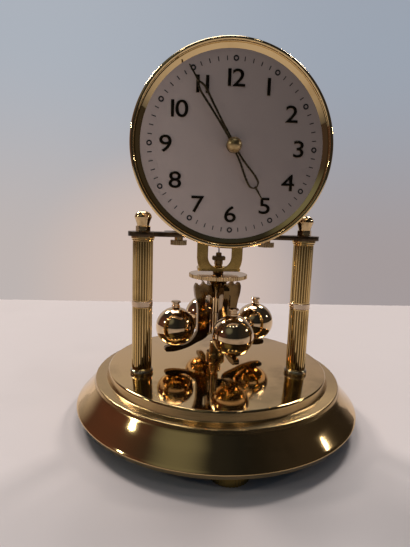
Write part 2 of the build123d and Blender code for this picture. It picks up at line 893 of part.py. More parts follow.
# Ratchet wheel on the winding square, with its click and click spring
ratchet_start = back_plate_forward - ratchet_gap - ratchet_thickness
ratchet_slant_share = 0.85
with BuildPart() as ratchet_wheel:
    add_outline(
        saw_outline(barrel_centre, ratchet_teeth, ratchet_radius, ratchet_tooth_depth, ratchet_slant_share),
        ratchet_start, ratchet_thickness,
    )
    with BuildSketch(forward(ratchet_start - overrun)):
        with Locations(barrel_centre):
            Rectangle(winding_square + 2 * fit_gap, winding_square + 2 * fit_gap)
    extrude(amount=ratchet_thickness + 2 * overrun, mode=Mode.SUBTRACT)
finish(ratchet_wheel, "ratchet_wheel")

click_tip = polar(barrel_centre, ratchet_radius + click_gap, click_tip_angle)
click_tip_back = polar(barrel_centre, ratchet_radius + click_gap + click_tip_width, click_tip_angle)
click_line = math.degrees(math.atan2(click_tip[1] - click_pivot[1], click_tip[0] - click_pivot[0]))
with BuildPart() as click:
    add_outline(
        (
            polar(click_pivot, click_pin_radius + click_tip_width, click_line - 90),
            click_tip,
            click_tip_back,
            polar(click_pivot, click_pin_radius + click_tip_width, click_line + 90),
        ),
        ratchet_start, ratchet_thickness,
    )
    add_round(click_pivot, click_pivot_radius, ratchet_start, ratchet_start + ratchet_thickness)
    cut_round(click_pivot, click_pin_radius + running_gap, ratchet_start, ratchet_start + ratchet_thickness)
finish(click, "click")

with BuildPart() as click_spring:
    with BuildSketch(forward(ratchet_start)):
        with BuildLine():
            ThreePointArc(
                polar(click_tip_back, click_spring_clear, click_line + 90),
                polar(click_pivot, click_pivot_radius + click_spring_clear, click_line + 90),
                polar(click_pivot, click_pivot_radius + click_spring_length, click_line + 90),
            )
        trace(line_width=click_spring_thickness)
    extrude(amount=back_plate_forward - ratchet_start)
finish(click_spring, "click_spring")


def add_arbor(centre):
    """Arbor with a pivot at each end and a plain barrel between the plates."""
    add_round(centre, pivot_radius, back_plate_forward, back_plate_front + arbor_shake)
    add_round(centre, arbor_radius, back_plate_front + arbor_shake, front_plate_back - arbor_shake)
    add_round(centre, pivot_radius, front_plate_back - arbor_shake, front_plate_front)


def add_wheel(centre, teeth, module, start):
    """Spoked wheel with a bore that sits on its arbor."""
    add_gear(centre, teeth, module, 0, start, wheel_thickness)
    rim_inner = module * (teeth / 2 - dedendum_share) - wheel_rim
    cut_spokes(centre, rim_inner, wheel_hub_radius, start, wheel_thickness)
    cut_round(centre, arbor_radius + fit_gap, start, start + wheel_thickness)


# First and second wheels of the train, on their arbors
first_phase = meshing_phase(barrel_centre, first_centre, great_teeth, first_pinion_teeth, 0)
with BuildPart() as first_arbor:
    add_arbor(first_centre)
    add_gear(
        first_centre, first_pinion_teeth, great_module, first_phase,
        great_wheel_start - pinion_proud, great_wheel_thickness + pinion_proud + pinion_proud / 2,
    )
finish(first_arbor, "first_arbor")

with BuildPart() as first_wheel:
    add_wheel(first_centre, first_wheel_teeth, first_module, first_wheel_start)
finish(first_wheel, "first_wheel")

second_phase = meshing_phase(first_centre, second_centre, first_wheel_teeth, second_pinion_teeth, 0)
with BuildPart() as second_arbor:
    add_arbor(second_centre)
    add_gear(
        second_centre, second_pinion_teeth, first_module, second_phase,
        first_wheel_start - pinion_proud, wheel_thickness + 2 * pinion_proud,
    )
finish(second_arbor, "second_arbor")

with BuildPart() as second_wheel:
    add_wheel(second_centre, second_wheel_teeth, second_module, second_wheel_start)
finish(second_wheel, "second_wheel")

# Centre arbor, which reaches forward to the minute hand
hour_hand_start = dial_forward + hour_hand_gap
minute_hand_start = hour_hand_start + hand_thickness + hand_spacing
minute_hand_end = minute_hand_start + hand_thickness
centre_phase = meshing_phase(second_centre, train_centre, second_wheel_teeth, centre_pinion_teeth, 0)
with BuildPart() as centre_arbor:
    add_round(train_centre, pivot_radius, back_plate_forward, back_plate_front + arbor_shake)
    add_round(train_centre, arbor_radius, back_plate_front + arbor_shake, front_plate_back - arbor_shake)
    add_round(
        train_centre, centre_front_radius, front_plate_back - arbor_shake,
        minute_hand_end + hand_nut_height / 2,
    )
    add_gear(
        train_centre, centre_pinion_teeth, second_module, centre_phase,
        second_wheel_start - pinion_proud, wheel_thickness + pinion_proud + pinion_proud / 2,
    )
finish(centre_arbor, "centre_arbor")

with BuildPart() as centre_wheel:
    add_wheel(train_centre, centre_wheel_teeth, centre_module, centre_wheel_start)
finish(centre_wheel, "centre_wheel")

# Third wheel and escape wheel
third_phase = meshing_phase(train_centre, third_centre, centre_wheel_teeth, third_pinion_teeth, 0)
with BuildPart() as third_arbor:
    add_arbor(third_centre)
    add_gear(
        third_centre, third_pinion_teeth, centre_module, third_phase,
        centre_wheel_start - pinion_proud, wheel_thickness + 2 * pinion_proud,
    )
finish(third_arbor, "third_arbor")

with BuildPart() as third_wheel:
    add_wheel(third_centre, third_wheel_teeth, third_module, third_wheel_start)
finish(third_wheel, "third_wheel")

escape_phase = meshing_phase(third_centre, escape_centre, third_wheel_teeth, escape_pinion_teeth, 0)
with BuildPart() as escape_arbor:
    add_arbor(escape_centre)
    add_gear(
        escape_centre, escape_pinion_teeth, third_module, escape_phase,
        third_wheel_start - pinion_proud, wheel_thickness + 2 * pinion_proud,
    )
finish(escape_arbor, "escape_arbor")

escape_slant_share = 0.25
with BuildPart() as escape_wheel:
    add_outline(
        saw_outline(escape_centre, escape_teeth, escape_radius, escape_tooth_depth, escape_slant_share),
        escape_wheel_start, wheel_thickness,
    )
    cut_spokes(
        escape_centre, escape_radius - escape_tooth_depth - wheel_rim / 2, wheel_hub_radius,
        escape_wheel_start, wheel_thickness,
    )
    cut_round(
        escape_centre, arbor_radius + fit_gap, escape_wheel_start, escape_wheel_start + wheel_thickness
    )
finish(escape_wheel, "escape_wheel")

# Anchor with its pallets, its arbor, and the upright pin that the fork moves
anchor_start = fork_reach - anchor_thickness / 2
pallet_reach = escape_radius + anchor_pallet_clear
pallet_angles = (90 - anchor_pallet_angle, 90 + anchor_pallet_angle)
with BuildPart() as anchor:
    add_arbor(anchor_centre)
    add_round(anchor_centre, anchor_hub_radius, anchor_start, anchor_start + anchor_thickness)
    for pallet_angle in pallet_angles:
        tip = polar(escape_centre, pallet_reach, pallet_angle)
        shoulder = polar(escape_centre, pallet_reach + anchor_pallet_length, pallet_angle)
        outer = polar(shoulder, anchor_arm_width, pallet_angle)
        spread = math.copysign(anchor_arm_width / 2, tip[0])
        add_outline(
            (
                (anchor_centre[0], anchor_centre[1] + anchor_arm_width / 2),
                (anchor_centre[0], anchor_centre[1] - anchor_arm_width / 2),
                (shoulder[0] - spread, shoulder[1]),
                (tip[0] - spread / 2, tip[1]),
                (tip[0] + spread / 2, tip[1]),
                (outer[0], outer[1]),
            ),
            anchor_start, anchor_thickness,
        )
    with BuildSketch(level(anchor_centre[1])):
        with Locations((0, -fork_reach)):
            Circle(anchor_pin_radius)
    extrude(amount=fork_height + anchor_pin_over_fork - anchor_centre[1])
finish(anchor, "anchor")

# Motion work: cannon pinion, minute wheel and hour wheel
with BuildPart() as cannon_pinion:
    add_round(train_centre, cannon_tube_radius, front_plate_front + cannon_start, minute_hand_start)
    add_gear(
        train_centre, cannon_teeth, cannon_module, 0,
        cannon_wheel_from - pinion_proud / 2, wheel_thickness + pinion_proud,
    )
    cut_round(
        train_centre, centre_front_radius + fit_gap, front_plate_front + cannon_start, minute_hand_start
    )
finish(cannon_pinion, "cannon_pinion")

minute_wheel_phase = meshing_phase(
    train_centre, minute_wheel_centre, cannon_teeth, minute_wheel_teeth, 0
)
with BuildPart() as minute_wheel:
    add_gear(
        minute_wheel_centre, minute_wheel_teeth, cannon_module, minute_wheel_phase,
        cannon_wheel_from, wheel_thickness,
    )
    add_gear(
        minute_wheel_centre, minute_pinion_teeth, hour_module, 0,
        cannon_wheel_from + wheel_thickness, minute_pinion_end - cannon_wheel_from - wheel_thickness,
    )
    cut_round(
        minute_wheel_centre, motion_stud_radius + running_gap, cannon_wheel_from, minute_pinion_end
    )
finish(minute_wheel, "minute_wheel")

hour_wheel_phase = meshing_phase(
    minute_wheel_centre, train_centre, minute_pinion_teeth, hour_wheel_teeth, 0
)
hour_hand_end = hour_hand_start + hand_thickness
with BuildPart() as hour_wheel:
    add_gear(
        train_centre, hour_wheel_teeth, hour_module, hour_wheel_phase, hour_wheel_from, wheel_thickness
    )
    add_round(train_centre, hour_pipe_radius, hour_wheel_from, hour_hand_end)
    cut_round(train_centre, cannon_tube_radius + running_gap, hour_wheel_from, hour_hand_end)
finish(hour_wheel, "hour_wheel")

# Dial with its feet, and the bezel round it
with BuildPart() as dial:
    add_round(train_centre, dial_radius, dial_back, dial_forward)
    cut_round(train_centre, dial_hole_radius, dial_back, dial_forward)
finish(dial, "dial")

with BuildPart() as dial_feet:
    for place in dial_foot_places:
        add_round(place, dial_foot_radius, front_plate_front, dial_back)
finish(dial_feet, "dial_feet")

bezel_front = dial_forward + bezel_proud
bezel_back = dial_back - bezel_tail
bezel_radius = dial_radius + bezel_width
bezel_rim_inner = bezel_radius - bezel_rim_width
bezel_rim_middle = bezel_radius - bezel_rim_width / 2
bezel_shoulder = bezel_front - bezel_rim_width / 2
with BuildPart() as bezel:
    with BuildSketch(level(dial_height)):
        with BuildLine():
            Polyline(
                (bezel_rim_inner, -bezel_shoulder),
                (bezel_rim_inner - bezel_groove, -bezel_shoulder + bezel_groove),
                (bezel_rim_inner - 2 * bezel_groove, -bezel_shoulder),
                (dial_radius - bezel_lip, -dial_forward - fit_gap),
                (dial_radius + fit_gap, -dial_forward - fit_gap),
                (dial_radius + fit_gap, -bezel_back),
                (bezel_radius, -bezel_back),
                (bezel_radius, -bezel_shoulder),
            )
            ThreePointArc(
                (bezel_radius, -bezel_shoulder),
                (bezel_rim_middle, -bezel_front),
                (bezel_rim_inner, -bezel_shoulder),
            )
        make_face()
    revolve(axis=Axis((0, 0, dial_height), (0, 1, 0)))
finish(bezel, "bezel")


# Hands: two rails that part and meet again, then a needle
def hand_side(along, across, degrees):
    """Point of a hand, by its distances along and across it, for a clockwise angle from twelve."""
    angle = math.radians(degrees)
    return (
        along * math.sin(angle) + across * math.cos(angle),
        dial_height + along * math.cos(angle) - across * math.sin(angle),
    )


def add_hand(length, widest, widest_share, close_share, bore, degrees, start):
    """Open-framed hand with a round hub, inside the part being built."""
    root = hand_hub_radius / 2
    frame_end = length * close_share
    wide_at = length * widest_share
    outer = ((0, root), (wide_at, widest), (frame_end, hand_rail), (length, hand_tip))
    points = []
    for along, across in outer:
        points.append(hand_side(along, across, degrees))
    for along, across in reversed(outer):
        points.append(hand_side(along, -across, degrees))
    add_outline(points, start, hand_thickness)
    add_round(train_centre, hand_hub_radius, start, start + hand_thickness)
    window_start = hand_hub_radius + hand_rail
    window = (
        (window_start, root - hand_rail),
        (wide_at, widest - hand_rail),
        (frame_end - hand_rail, 0),
        (wide_at, hand_rail - widest),
        (window_start, hand_rail - root),
    )
    with BuildSketch(forward(start - overrun)) as opening:
        with BuildLine():
            Polyline([hand_side(along, across, degrees) for along, across in window], close=True)
        make_face()
    extrude(opening.sketch, amount=hand_thickness + 2 * overrun, mode=Mode.SUBTRACT)
    cut_round(train_centre, bore, start, start + hand_thickness)


hour_widest_share = 0.68
hour_close_share = 0.80
minute_widest_share = 0.69
minute_close_share = 0.79
minute_hand_length = dial_radius - minute_hand_margin
hour_hand_length = minute_hand_length - hour_hand_short
with BuildPart() as hour_hand:
    add_hand(
        hour_hand_length, hour_hand_widest, hour_widest_share, hour_close_share,
        hour_pipe_radius + fit_gap, hour_hand_angle, hour_hand_start,
    )
finish(hour_hand, "hour_hand")

with BuildPart() as minute_hand:
    add_hand(
        minute_hand_length, minute_hand_widest, minute_widest_share, minute_close_share,
        centre_front_radius + fit_gap, minute_hand_angle, minute_hand_start,
    )
finish(minute_hand, "minute_hand")

nut_seat = (0, pendulum_back - minute_hand_end, dial_height)
nut_plane = Plane(origin=nut_seat, x_dir=(1, 0, 0), z_dir=(0, 0, -1))
with BuildPart() as hand_nut:
    with BuildSketch(nut_plane):
        with BuildLine():
            Polyline(
                (0, hand_nut_height), (0, 0), (hand_nut_radius, 0), (hand_nut_radius, hand_nut_edge)
            )
            ThreePointArc(
                (hand_nut_radius, hand_nut_edge),
                dome_middle(hand_nut_radius, hand_nut_edge, hand_nut_height),
                (0, hand_nut_height),
            )
        make_face()
    revolve(axis=Axis((0, 0, dial_height), (0, 1, 0)))
    with BuildSketch(forward(minute_hand_end)):
        with Locations(train_centre):
            Circle(centre_front_radius + fit_gap)
    extrude(amount=hand_nut_height / 2 + fit_gap, mode=Mode.SUBTRACT)
finish(hand_nut, "hand_nut")

# Saddle, top block and ribbon that carry the pendulum
shelf_under = top_block_base + top_block_height
saddle_front = back_plate_forward
saddle_leg_middle = saddle_half_width - saddle_leg_width / 2
saddle_leg_foot = plate_top - saddle_grip
with BuildPart() as suspension_saddle:
    with BuildSketch(level(saddle_leg_foot)):
        with Locations(
            (-saddle_leg_middle, -saddle_front + saddle_thickness / 2),
            (saddle_leg_middle, -saddle_front + saddle_thickness / 2),
        ):
            Rectangle(saddle_leg_width, saddle_thickness)
    extrude(amount=shelf_under + saddle_thickness - saddle_leg_foot)
    with BuildSketch(level(shelf_under)):
        with Locations((0, (saddle_tail - saddle_front) / 2)):
            Rectangle(2 * saddle_half_width, saddle_tail + saddle_front)
    extrude(amount=saddle_thickness)
finish(suspension_saddle, "suspension_saddle")

with BuildPart() as top_block:
    with BuildSketch(level(top_block_base)):
        Rectangle(top_block_width, top_block_depth)
    extrude(amount=top_block_height)
finish(top_block, "top_block")

with BuildPart() as suspension_ribbon:
    with BuildSketch(level(block_top)):
        Rectangle(ribbon_width, ribbon_thickness)
    extrude(amount=top_block_base - block_top)
finish(suspension_ribbon, "suspension_ribbon")

# Fork on the ribbon, with two tines either side of the anchor pin
tine_middle = anchor_pin_radius + fork_slot_gap + fork_tine / 2
tine_end = fork_reach + fork_lead
with BuildPart() as fork:
    with BuildSketch(level(fork_height - fork_block_height / 2)):
        Circle(fork_block_radius)
        Rectangle(ribbon_width + 2 * loose_gap, ribbon_thickness + 2 * loose_gap, mode=Mode.SUBTRACT)
    extrude(amount=fork_block_height)
    with BuildSketch(level(fork_height - fork_thickness / 2)):
        tine_centre = -(tine_end + fork_tine) / 2
        with Locations((-tine_middle, tine_centre), (tine_middle, tine_centre)):
            Rectangle(fork_tine, tine_end - fork_tine)
    extrude(amount=fork_thickness)
finish(fork, "fork")

# Bottom block: a stub on the ribbon, two wings, and a neck down to the pendulum
with BuildPart() as bottom_block:
    with BuildSketch(level(block_wing_base)):
        Rectangle(2 * block_wing_half, block_wing_depth)
    extrude(amount=block_wing_height)
    with BuildSketch(level(block_wing_base + block_wing_height)):
        Circle(block_stub_radius)
    extrude(amount=block_stub_height)
    with BuildSketch(level(hub_top)):
        Circle(block_neck_radius)
    extrude(amount=block_wing_base - hub_top)
    with BuildSketch(level(collar_bottom)):
        Circle(block_collar_radius)
    extrude(amount=block_collar_height)
finish(bottom_block, "bottom_block")

# Lower bracket: two legs on the back plate, curving into a shelf with a hole for the neck
leg_inner = bracket_half_width - bracket_leg_width
bow_height = shelf_base + shelf_thickness + leg_inner
bracket_top = bar_top + bracket_grip
bracket_start = back_plate_forward - bracket_thickness
taper_half = bracket_half_width - bracket_taper
with BuildPart() as lower_bracket:
    with BuildSketch(forward(bracket_start)):
        with BuildLine():
            Polyline(
                (-leg_inner, bow_height),
                (-leg_inner, bracket_top),
                (-bracket_half_width, bracket_top),
                (-bracket_half_width, shelf_base + bracket_taper_height),
                (-taper_half, shelf_base),
                (taper_half, shelf_base),
                (bracket_half_width, shelf_base + bracket_taper_height),
                (bracket_half_width, bracket_top),
                (leg_inner, bracket_top),
                (leg_inner, bow_height),
            )
            ThreePointArc(
                (leg_inner, bow_height), (0, bow_height - leg_inner), (-leg_inner, bow_height)
            )
        make_face()
    extrude(amount=bracket_thickness)
    with BuildSketch(level(shelf_base)):
        with Locations((0, shelf_depth / 2 - back_plate_forward)):
            RectangleRounded(2 * shelf_half_length, shelf_depth, bracket_taper)
        Circle(shelf_hole_radius, mode=Mode.SUBTRACT)
    extrude(amount=shelf_thickness)
finish(lower_bracket, "lower_bracket")

# Screws on the back plate that hold the bracket and the saddle, and the pin of the click
leg_middle = bracket_half_width - bracket_leg_width / 2
bracket_screw_height = bracket_top - bracket_screw_drop
bracket_screw_places = ((-leg_middle, bracket_screw_height), (leg_middle, bracket_screw_height))
saddle_screw_height = saddle_leg_foot + saddle_screw_rise
saddle_screw_places = (
    (-saddle_leg_middle, saddle_screw_height), (saddle_leg_middle, saddle_screw_height)
)
with BuildPart() as back_screws:
    for place in bracket_screw_places:
        add_round(place, back_screw_radius, bracket_start - back_screw_height, bracket_start)
    for place in saddle_screw_places:
        saddle_back = saddle_front - saddle_thickness
        add_round(place, back_screw_radius - loose_gap, saddle_back - back_screw_height, saddle_back)
    add_round(click_pivot, click_pin_radius, ratchet_start - fit_gap, back_plate_forward)
    click_head_end = ratchet_start - fit_gap
    add_round(click_pivot, click_pivot_radius, click_head_end - back_screw_height, click_head_end)
finish(back_screws, "back_screws")

# Knurled regulating disc
with BuildPart() as regulating_disc:
    with BuildSketch(level(disc_base)):
        Circle(disc_radius)
        with PolarLocations(disc_radius, disc_knurls):
            Circle(disc_knurl_radius, mode=Mode.SUBTRACT)
        Circle(block_neck_radius + running_gap, mode=Mode.SUBTRACT)
    extrude(amount=disc_thickness)
finish(regulating_disc, "regulating_disc")

# Pendulum hub and stem, ending in a guide pin
stem_foot = post_cup_top + stem_clear
pin_foot = post_cup_top - post_cup_bore_depth + pin_clear
pendulum_axis = Axis((0, pendulum_back, 0), (0, 0, 1))
with BuildPart() as pendulum_hub:
    with BuildSketch(forward(0)):
        with BuildLine():
            Polyline(
                (0, hub_top),
                (hub_top_radius, hub_top),
                (hub_mid_radius, hub_mid_height),
                (hub_low_radius, hub_low_height),
                (stem_radius, hub_low_height),
                (stem_radius, stem_foot),
                (pin_radius, stem_foot - pin_radius),
                (pin_radius, pin_foot),
                (0, pin_foot),
                close=True,
            )
        make_face()
    revolve(axis=pendulum_axis)
finish(pendulum_hub, "pendulum_hub")

# Scroll arms that carry the balls: each curls out of the hub, runs down and sweeps under its ball
arm_foot_top = hub_low_height - loose_gap
arm_foot_low = arm_foot_top - arm_foot_height
arm_shoulder = hub_low_radius + loose_gap
arm_neck = hub_mid_radius + loose_gap
arm_tip = ball_orbit + arm_tip_reach
arm_bow = ball_orbit - arm_outer
arm_straight_top = ball_height + arm_width
arm_straight_low = arm_under + arm_sweep_rise
arm_sweep_height = arm_under + arm_sweep_share * arm_width
arm_leg_inner = arm_outer - arm_leg_width
arm_eye_low = arm_foot_low - arm_eye_height
arm_eye_round = arm_leg_inner - arm_inner
arm_arch_middle = (arm_leg_inner + arm_foot_out) / 2
arm_arch_rise = (arm_leg_inner - arm_foot_out) / 2
arm_small_ear_reach = arm_neck + arm_small_ear_length
arm_small_ear_height = hub_mid_height + arm_small_ear_rise
arm_dip = (arm_neck + arm_small_ear_reach) / 2
arm_notch_side = arm_small_ear_reach + arm_small_ear_width
arm_ear_side = arm_notch_side + arm_notch_width
arm_ear_height = arm_small_ear_height - arm_ear_drop
arm_notch = (arm_notch_side + arm_ear_side) / 2
arm_ear_reach = arm_ear_side + arm_ear_width
arm_round_share = math.sqrt(1 / 2)
with BuildPart() as pendulum_arms:
    for index in range(ball_count):
        arm_turn = pendulum_turn + index * 360 / ball_count
        with BuildSketch(forward(0).rotated((0, 0, arm_turn)).offset(-arm_thickness / 2)):
            with BuildLine():
                Line((arm_tip, arm_under), (ball_orbit, arm_under))
                Spline(
                    (ball_orbit, arm_under), (arm_outer, arm_sweep_height), (arm_inner, arm_straight_low),
                    tangents=((-1, 0), (0, 1)),
                )
                Line((arm_inner, arm_straight_low), (arm_inner, arm_eye_low))
                ThreePointArc(
                    (arm_inner, arm_eye_low),
                    (
                        arm_inner + arm_round_share * arm_eye_round,
                        arm_eye_low + (1 - arm_round_share) * arm_eye_round,
                    ),
                    (arm_leg_inner, arm_eye_low + arm_eye_round),
                )
                Line((arm_leg_inner, arm_eye_low + arm_eye_round), (arm_leg_inner, arm_foot_low))
                ThreePointArc(
                    (arm_leg_inner, arm_foot_low),
                    (arm_arch_middle, arm_foot_low + arm_arch_rise),
                    (arm_foot_out, arm_foot_low),
                )
                Polyline(
                    (arm_foot_out, arm_foot_low),
                    (arm_root, arm_foot_low),
                    (arm_root, arm_foot_top),
                    (arm_shoulder, arm_foot_top),
                    (arm_neck, hub_mid_height),
                )
                ThreePointArc(
                    (arm_neck, hub_mid_height), (arm_dip, hub_mid_height),
                    (arm_small_ear_reach, arm_small_ear_height),
                )
                Line((arm_small_ear_reach, arm_small_ear_height), (arm_notch_side, arm_small_ear_height))
                ThreePointArc(
                    (arm_notch_side, arm_small_ear_height),
                    (arm_notch, arm_ear_height - arm_notch_depth),
                    (arm_ear_side, arm_ear_height),
                )
                Line((arm_ear_side, arm_ear_height), (arm_ear_reach, arm_ear_height))
                Spline(
                    (arm_ear_reach, arm_ear_height),
                    (arm_ear_reach + arm_ear_bulge, arm_ear_height - arm_bulge_drop),
                    (arm_outer, arm_straight_top),
                    tangents=((1, -1), (0, -1)),
                )
                Line((arm_outer, arm_straight_top), (arm_outer, ball_height))
                ThreePointArc(
                    (arm_outer, ball_height),
                    (ball_orbit - arm_round_share * arm_bow, ball_height - arm_round_share * arm_bow),
                    (ball_orbit - ball_rod_radius, arm_seat),
                )
                Line((ball_orbit - ball_rod_radius, arm_seat), (arm_tip, arm_seat))
                ThreePointArc(
                    (arm_tip, arm_seat),
                    (arm_tip + arm_tip_thickness / 2, (arm_seat + arm_under) / 2),
                    (arm_tip, arm_under),
                )
            make_face()
        extrude(amount=arm_thickness)
finish(pendulum_arms, "pendulum_arms")

# Balls, each on a rod with a knurled knob on top
with BuildPart(level(0)) as pendulum_balls:
    with PolarLocations(ball_orbit, ball_count, start_angle=pendulum_turn):
        with Locations((0, 0, ball_height)):
            Sphere(ball_radius)
            Cylinder(ball_rod_radius + fit_gap, 3 * ball_radius, mode=Mode.SUBTRACT)
finish(pendulum_balls, "pendulum_balls")

knob_base = ball_height + ball_radius
with BuildPart() as ball_knobs:
    for low, high, radius in (
        (arm_seat, knob_base, ball_rod_radius),
        (knob_base, knob_base + knob_flange, knob_foot_radius),
        (knob_base + knob_flange, knob_base + knob_height - knob_flange, knob_waist_radius),
        (knob_base + knob_height - knob_flange, knob_base + knob_height, knob_radius),
    ):
        with BuildSketch(level(low)):
            with PolarLocations(ball_orbit, ball_count, start_angle=pendulum_turn):
                Circle(radius)
        extrude(amount=high - low)
finish(ball_knobs, "ball_knobs")

# Guide post on the base, with a bore for the pendulum's pin
with BuildPart() as guide_post:
    with BuildSketch(forward(0)):
        with BuildLine():
            Polyline(
                (0, platform_height),
                (post_flange_radius, platform_height),
                (post_flange_radius, platform_height + post_flange_height),
                (post_cup_radius, platform_height + post_flange_height),
                (post_cup_radius, post_cup_top - post_cup_step),
                (post_cup_radius - post_cup_step, post_cup_top),
                (post_cup_bore, post_cup_top),
                (post_cup_bore, post_cup_top - post_cup_bore_depth),
                (0, post_cup_top - post_cup_bore_depth),
                close=True,
            )
        make_face()
    revolve(axis=pendulum_axis)
    for groove_height in post_cup_groove_heights:
        with BuildSketch(level(platform_height + groove_height)):
            Circle(post_cup_radius + overrun)
            Circle(post_cup_radius - post_cup_groove, mode=Mode.SUBTRACT)
        extrude(amount=post_cup_groove, mode=Mode.SUBTRACT)
finish(guide_post, "guide_post")
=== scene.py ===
"""Looks of a table clock with a slowly turning ball pendulum, dressed round its packed CAD frame.

The clock's sizes are in millimetres, in the frame's own axes, and become metres where Blender takes them.
The stage's lamps, table and camera are in metres.
"""
import json
import logging
import math
from dataclasses import dataclass
from enum import Enum
from functools import cache
from typing import Any, Sequence

import bpy
from mathutils import Matrix, Vector

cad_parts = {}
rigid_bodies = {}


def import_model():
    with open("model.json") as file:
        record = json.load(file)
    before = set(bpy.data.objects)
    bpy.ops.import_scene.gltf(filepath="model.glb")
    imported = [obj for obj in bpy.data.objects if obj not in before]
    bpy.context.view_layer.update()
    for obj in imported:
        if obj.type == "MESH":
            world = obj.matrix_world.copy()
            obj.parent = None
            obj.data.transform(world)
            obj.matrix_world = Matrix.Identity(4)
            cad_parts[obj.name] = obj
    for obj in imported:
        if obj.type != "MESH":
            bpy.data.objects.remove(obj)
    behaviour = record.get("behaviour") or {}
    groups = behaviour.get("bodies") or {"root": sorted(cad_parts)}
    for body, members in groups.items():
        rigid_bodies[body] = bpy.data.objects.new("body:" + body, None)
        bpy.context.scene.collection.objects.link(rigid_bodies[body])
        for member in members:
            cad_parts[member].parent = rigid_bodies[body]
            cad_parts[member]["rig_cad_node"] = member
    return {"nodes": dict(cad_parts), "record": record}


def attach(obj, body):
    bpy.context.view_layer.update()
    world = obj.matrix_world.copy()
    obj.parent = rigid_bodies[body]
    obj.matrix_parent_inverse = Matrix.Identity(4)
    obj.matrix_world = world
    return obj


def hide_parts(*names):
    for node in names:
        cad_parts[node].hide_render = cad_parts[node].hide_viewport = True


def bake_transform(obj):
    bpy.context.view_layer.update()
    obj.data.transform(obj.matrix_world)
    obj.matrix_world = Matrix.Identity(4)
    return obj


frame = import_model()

Point = tuple[float, float]
Triple = tuple[float, float, float]
Colour = tuple[float, float, float]
Profile = Sequence[Point]
Piece = bpy.types.Object
Material = bpy.types.Material

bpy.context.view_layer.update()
MM = 0.001
FULL_TURN = 2 * math.pi
MERGE = 1e-6
FLAT_ANGLE = 0.5
SMOOTH_ANGLE = 34.0
AXIS_BACK = 7.9
AXIS: Point = (0.0, AXIS_BACK)
DIAL_HEIGHT = 136.8
DIAL_MIDDLE: Point = (0.0, DIAL_HEIGHT)
MINUTE = 6.0
NOISE_MEAN = 0.5
LOG = logging.getLogger("clock")


class Lay(Enum):
    """The way in which a flat outline or a turned shape lies."""

    FLAT = "flat"
    UPRIGHT = "upright"

    def place(self, across: float, along: float, level: float) -> Vector:
        """Put a point of an outline in space.

        Args:
            across: Distance along X.
            along: Distance along Y when flat, along Z when upright.
            level: Height when flat, distance towards the viewer when upright.

        Returns:
            The point, in metres.
        """
        if self is Lay.FLAT:
            return Vector((across, along, level)) * MM
        return Vector((across, -level, along)) * MM

    @property
    def axis(self) -> str:
        """Name of the axis that the shape turns about."""
        return "Z" if self is Lay.FLAT else "Y"


class Grain(Enum):
    """The way in which the fine marks of a finish run."""

    SPUN = "spun"
    ROUND_DIAL = "round_dial"
    UPRIGHT = "upright"
    CLOUDY = "cloudy"


def polar(centre: Point, radius: float, angle: float) -> Point:
    """The point at a distance from a centre, at an angle in radians."""
    return (centre[0] + radius * math.cos(angle), centre[1] + radius * math.sin(angle))


def arc(centre: Point, radius: float, start: float, end: float, count: int) -> list[Point]:
    """Points of an arc in a count of steps, from one angle to another in degrees, both ends included."""
    angles = [math.radians(start + (end - start) * step / count) for step in range(count + 1)]
    return [polar(centre, radius, angle) for angle in angles]


def flow(points: Profile, steps: int) -> list[Point]:
    """A smooth line through points.

    Args:
        points: The points that the line passes through.
        steps: Number of steps between two of them.

    Returns:
        The points of the line, both ends included.
    """
    padded = [points[0], *points, points[-1]]
    line = []
    for window in zip(padded, padded[1:], padded[2:], padded[3:]):
        for share in (step / steps for step in range(steps)):
            point = []
            for before, start, end, after in zip(*window):
                bend = 2 * before - 5 * start + 4 * end - after
                twist = 3 * (start - end) - before + after
                point.append(start + 0.5 * share * (end - before + bend * share + twist * share ** 2))
            line.append(tuple(point))
    return [*line, points[-1]]


def rectangle(middle: Point, half: Point) -> list[Point]:
    """Corners of a rectangle, by its middle and half its sizes."""
    sides = ((-1, -1), (1, -1), (1, 1), (-1, 1))
    return [(middle[0] + x * half[0], middle[1] + y * half[1]) for x, y in sides]


def washer(bore: float, radius: float, low: float, high: float, bevel: Point = (0.0, 0.0)) -> list[Point]:
    """Profile of a turned ring, or of a disc where it has no bore.

    Args:
        bore: Radius of its bore.
        radius: Its own radius.
        low: Level of one face.
        high: Level of the other.
        bevel: Reach of its bevelled outer edges, inwards and along the axis.

    Returns:
        Radius and level of its points, closed round the bore.
    """
    inwards, along = bevel
    corners = [(radius - inwards, low), (radius, low + along)]
    corners += [(radius, high - along), (radius - inwards, high)]
    closing = [(bore, low)] if bore else []
    return [(bore, low), *dict.fromkeys(corners), (bore, high), *closing]


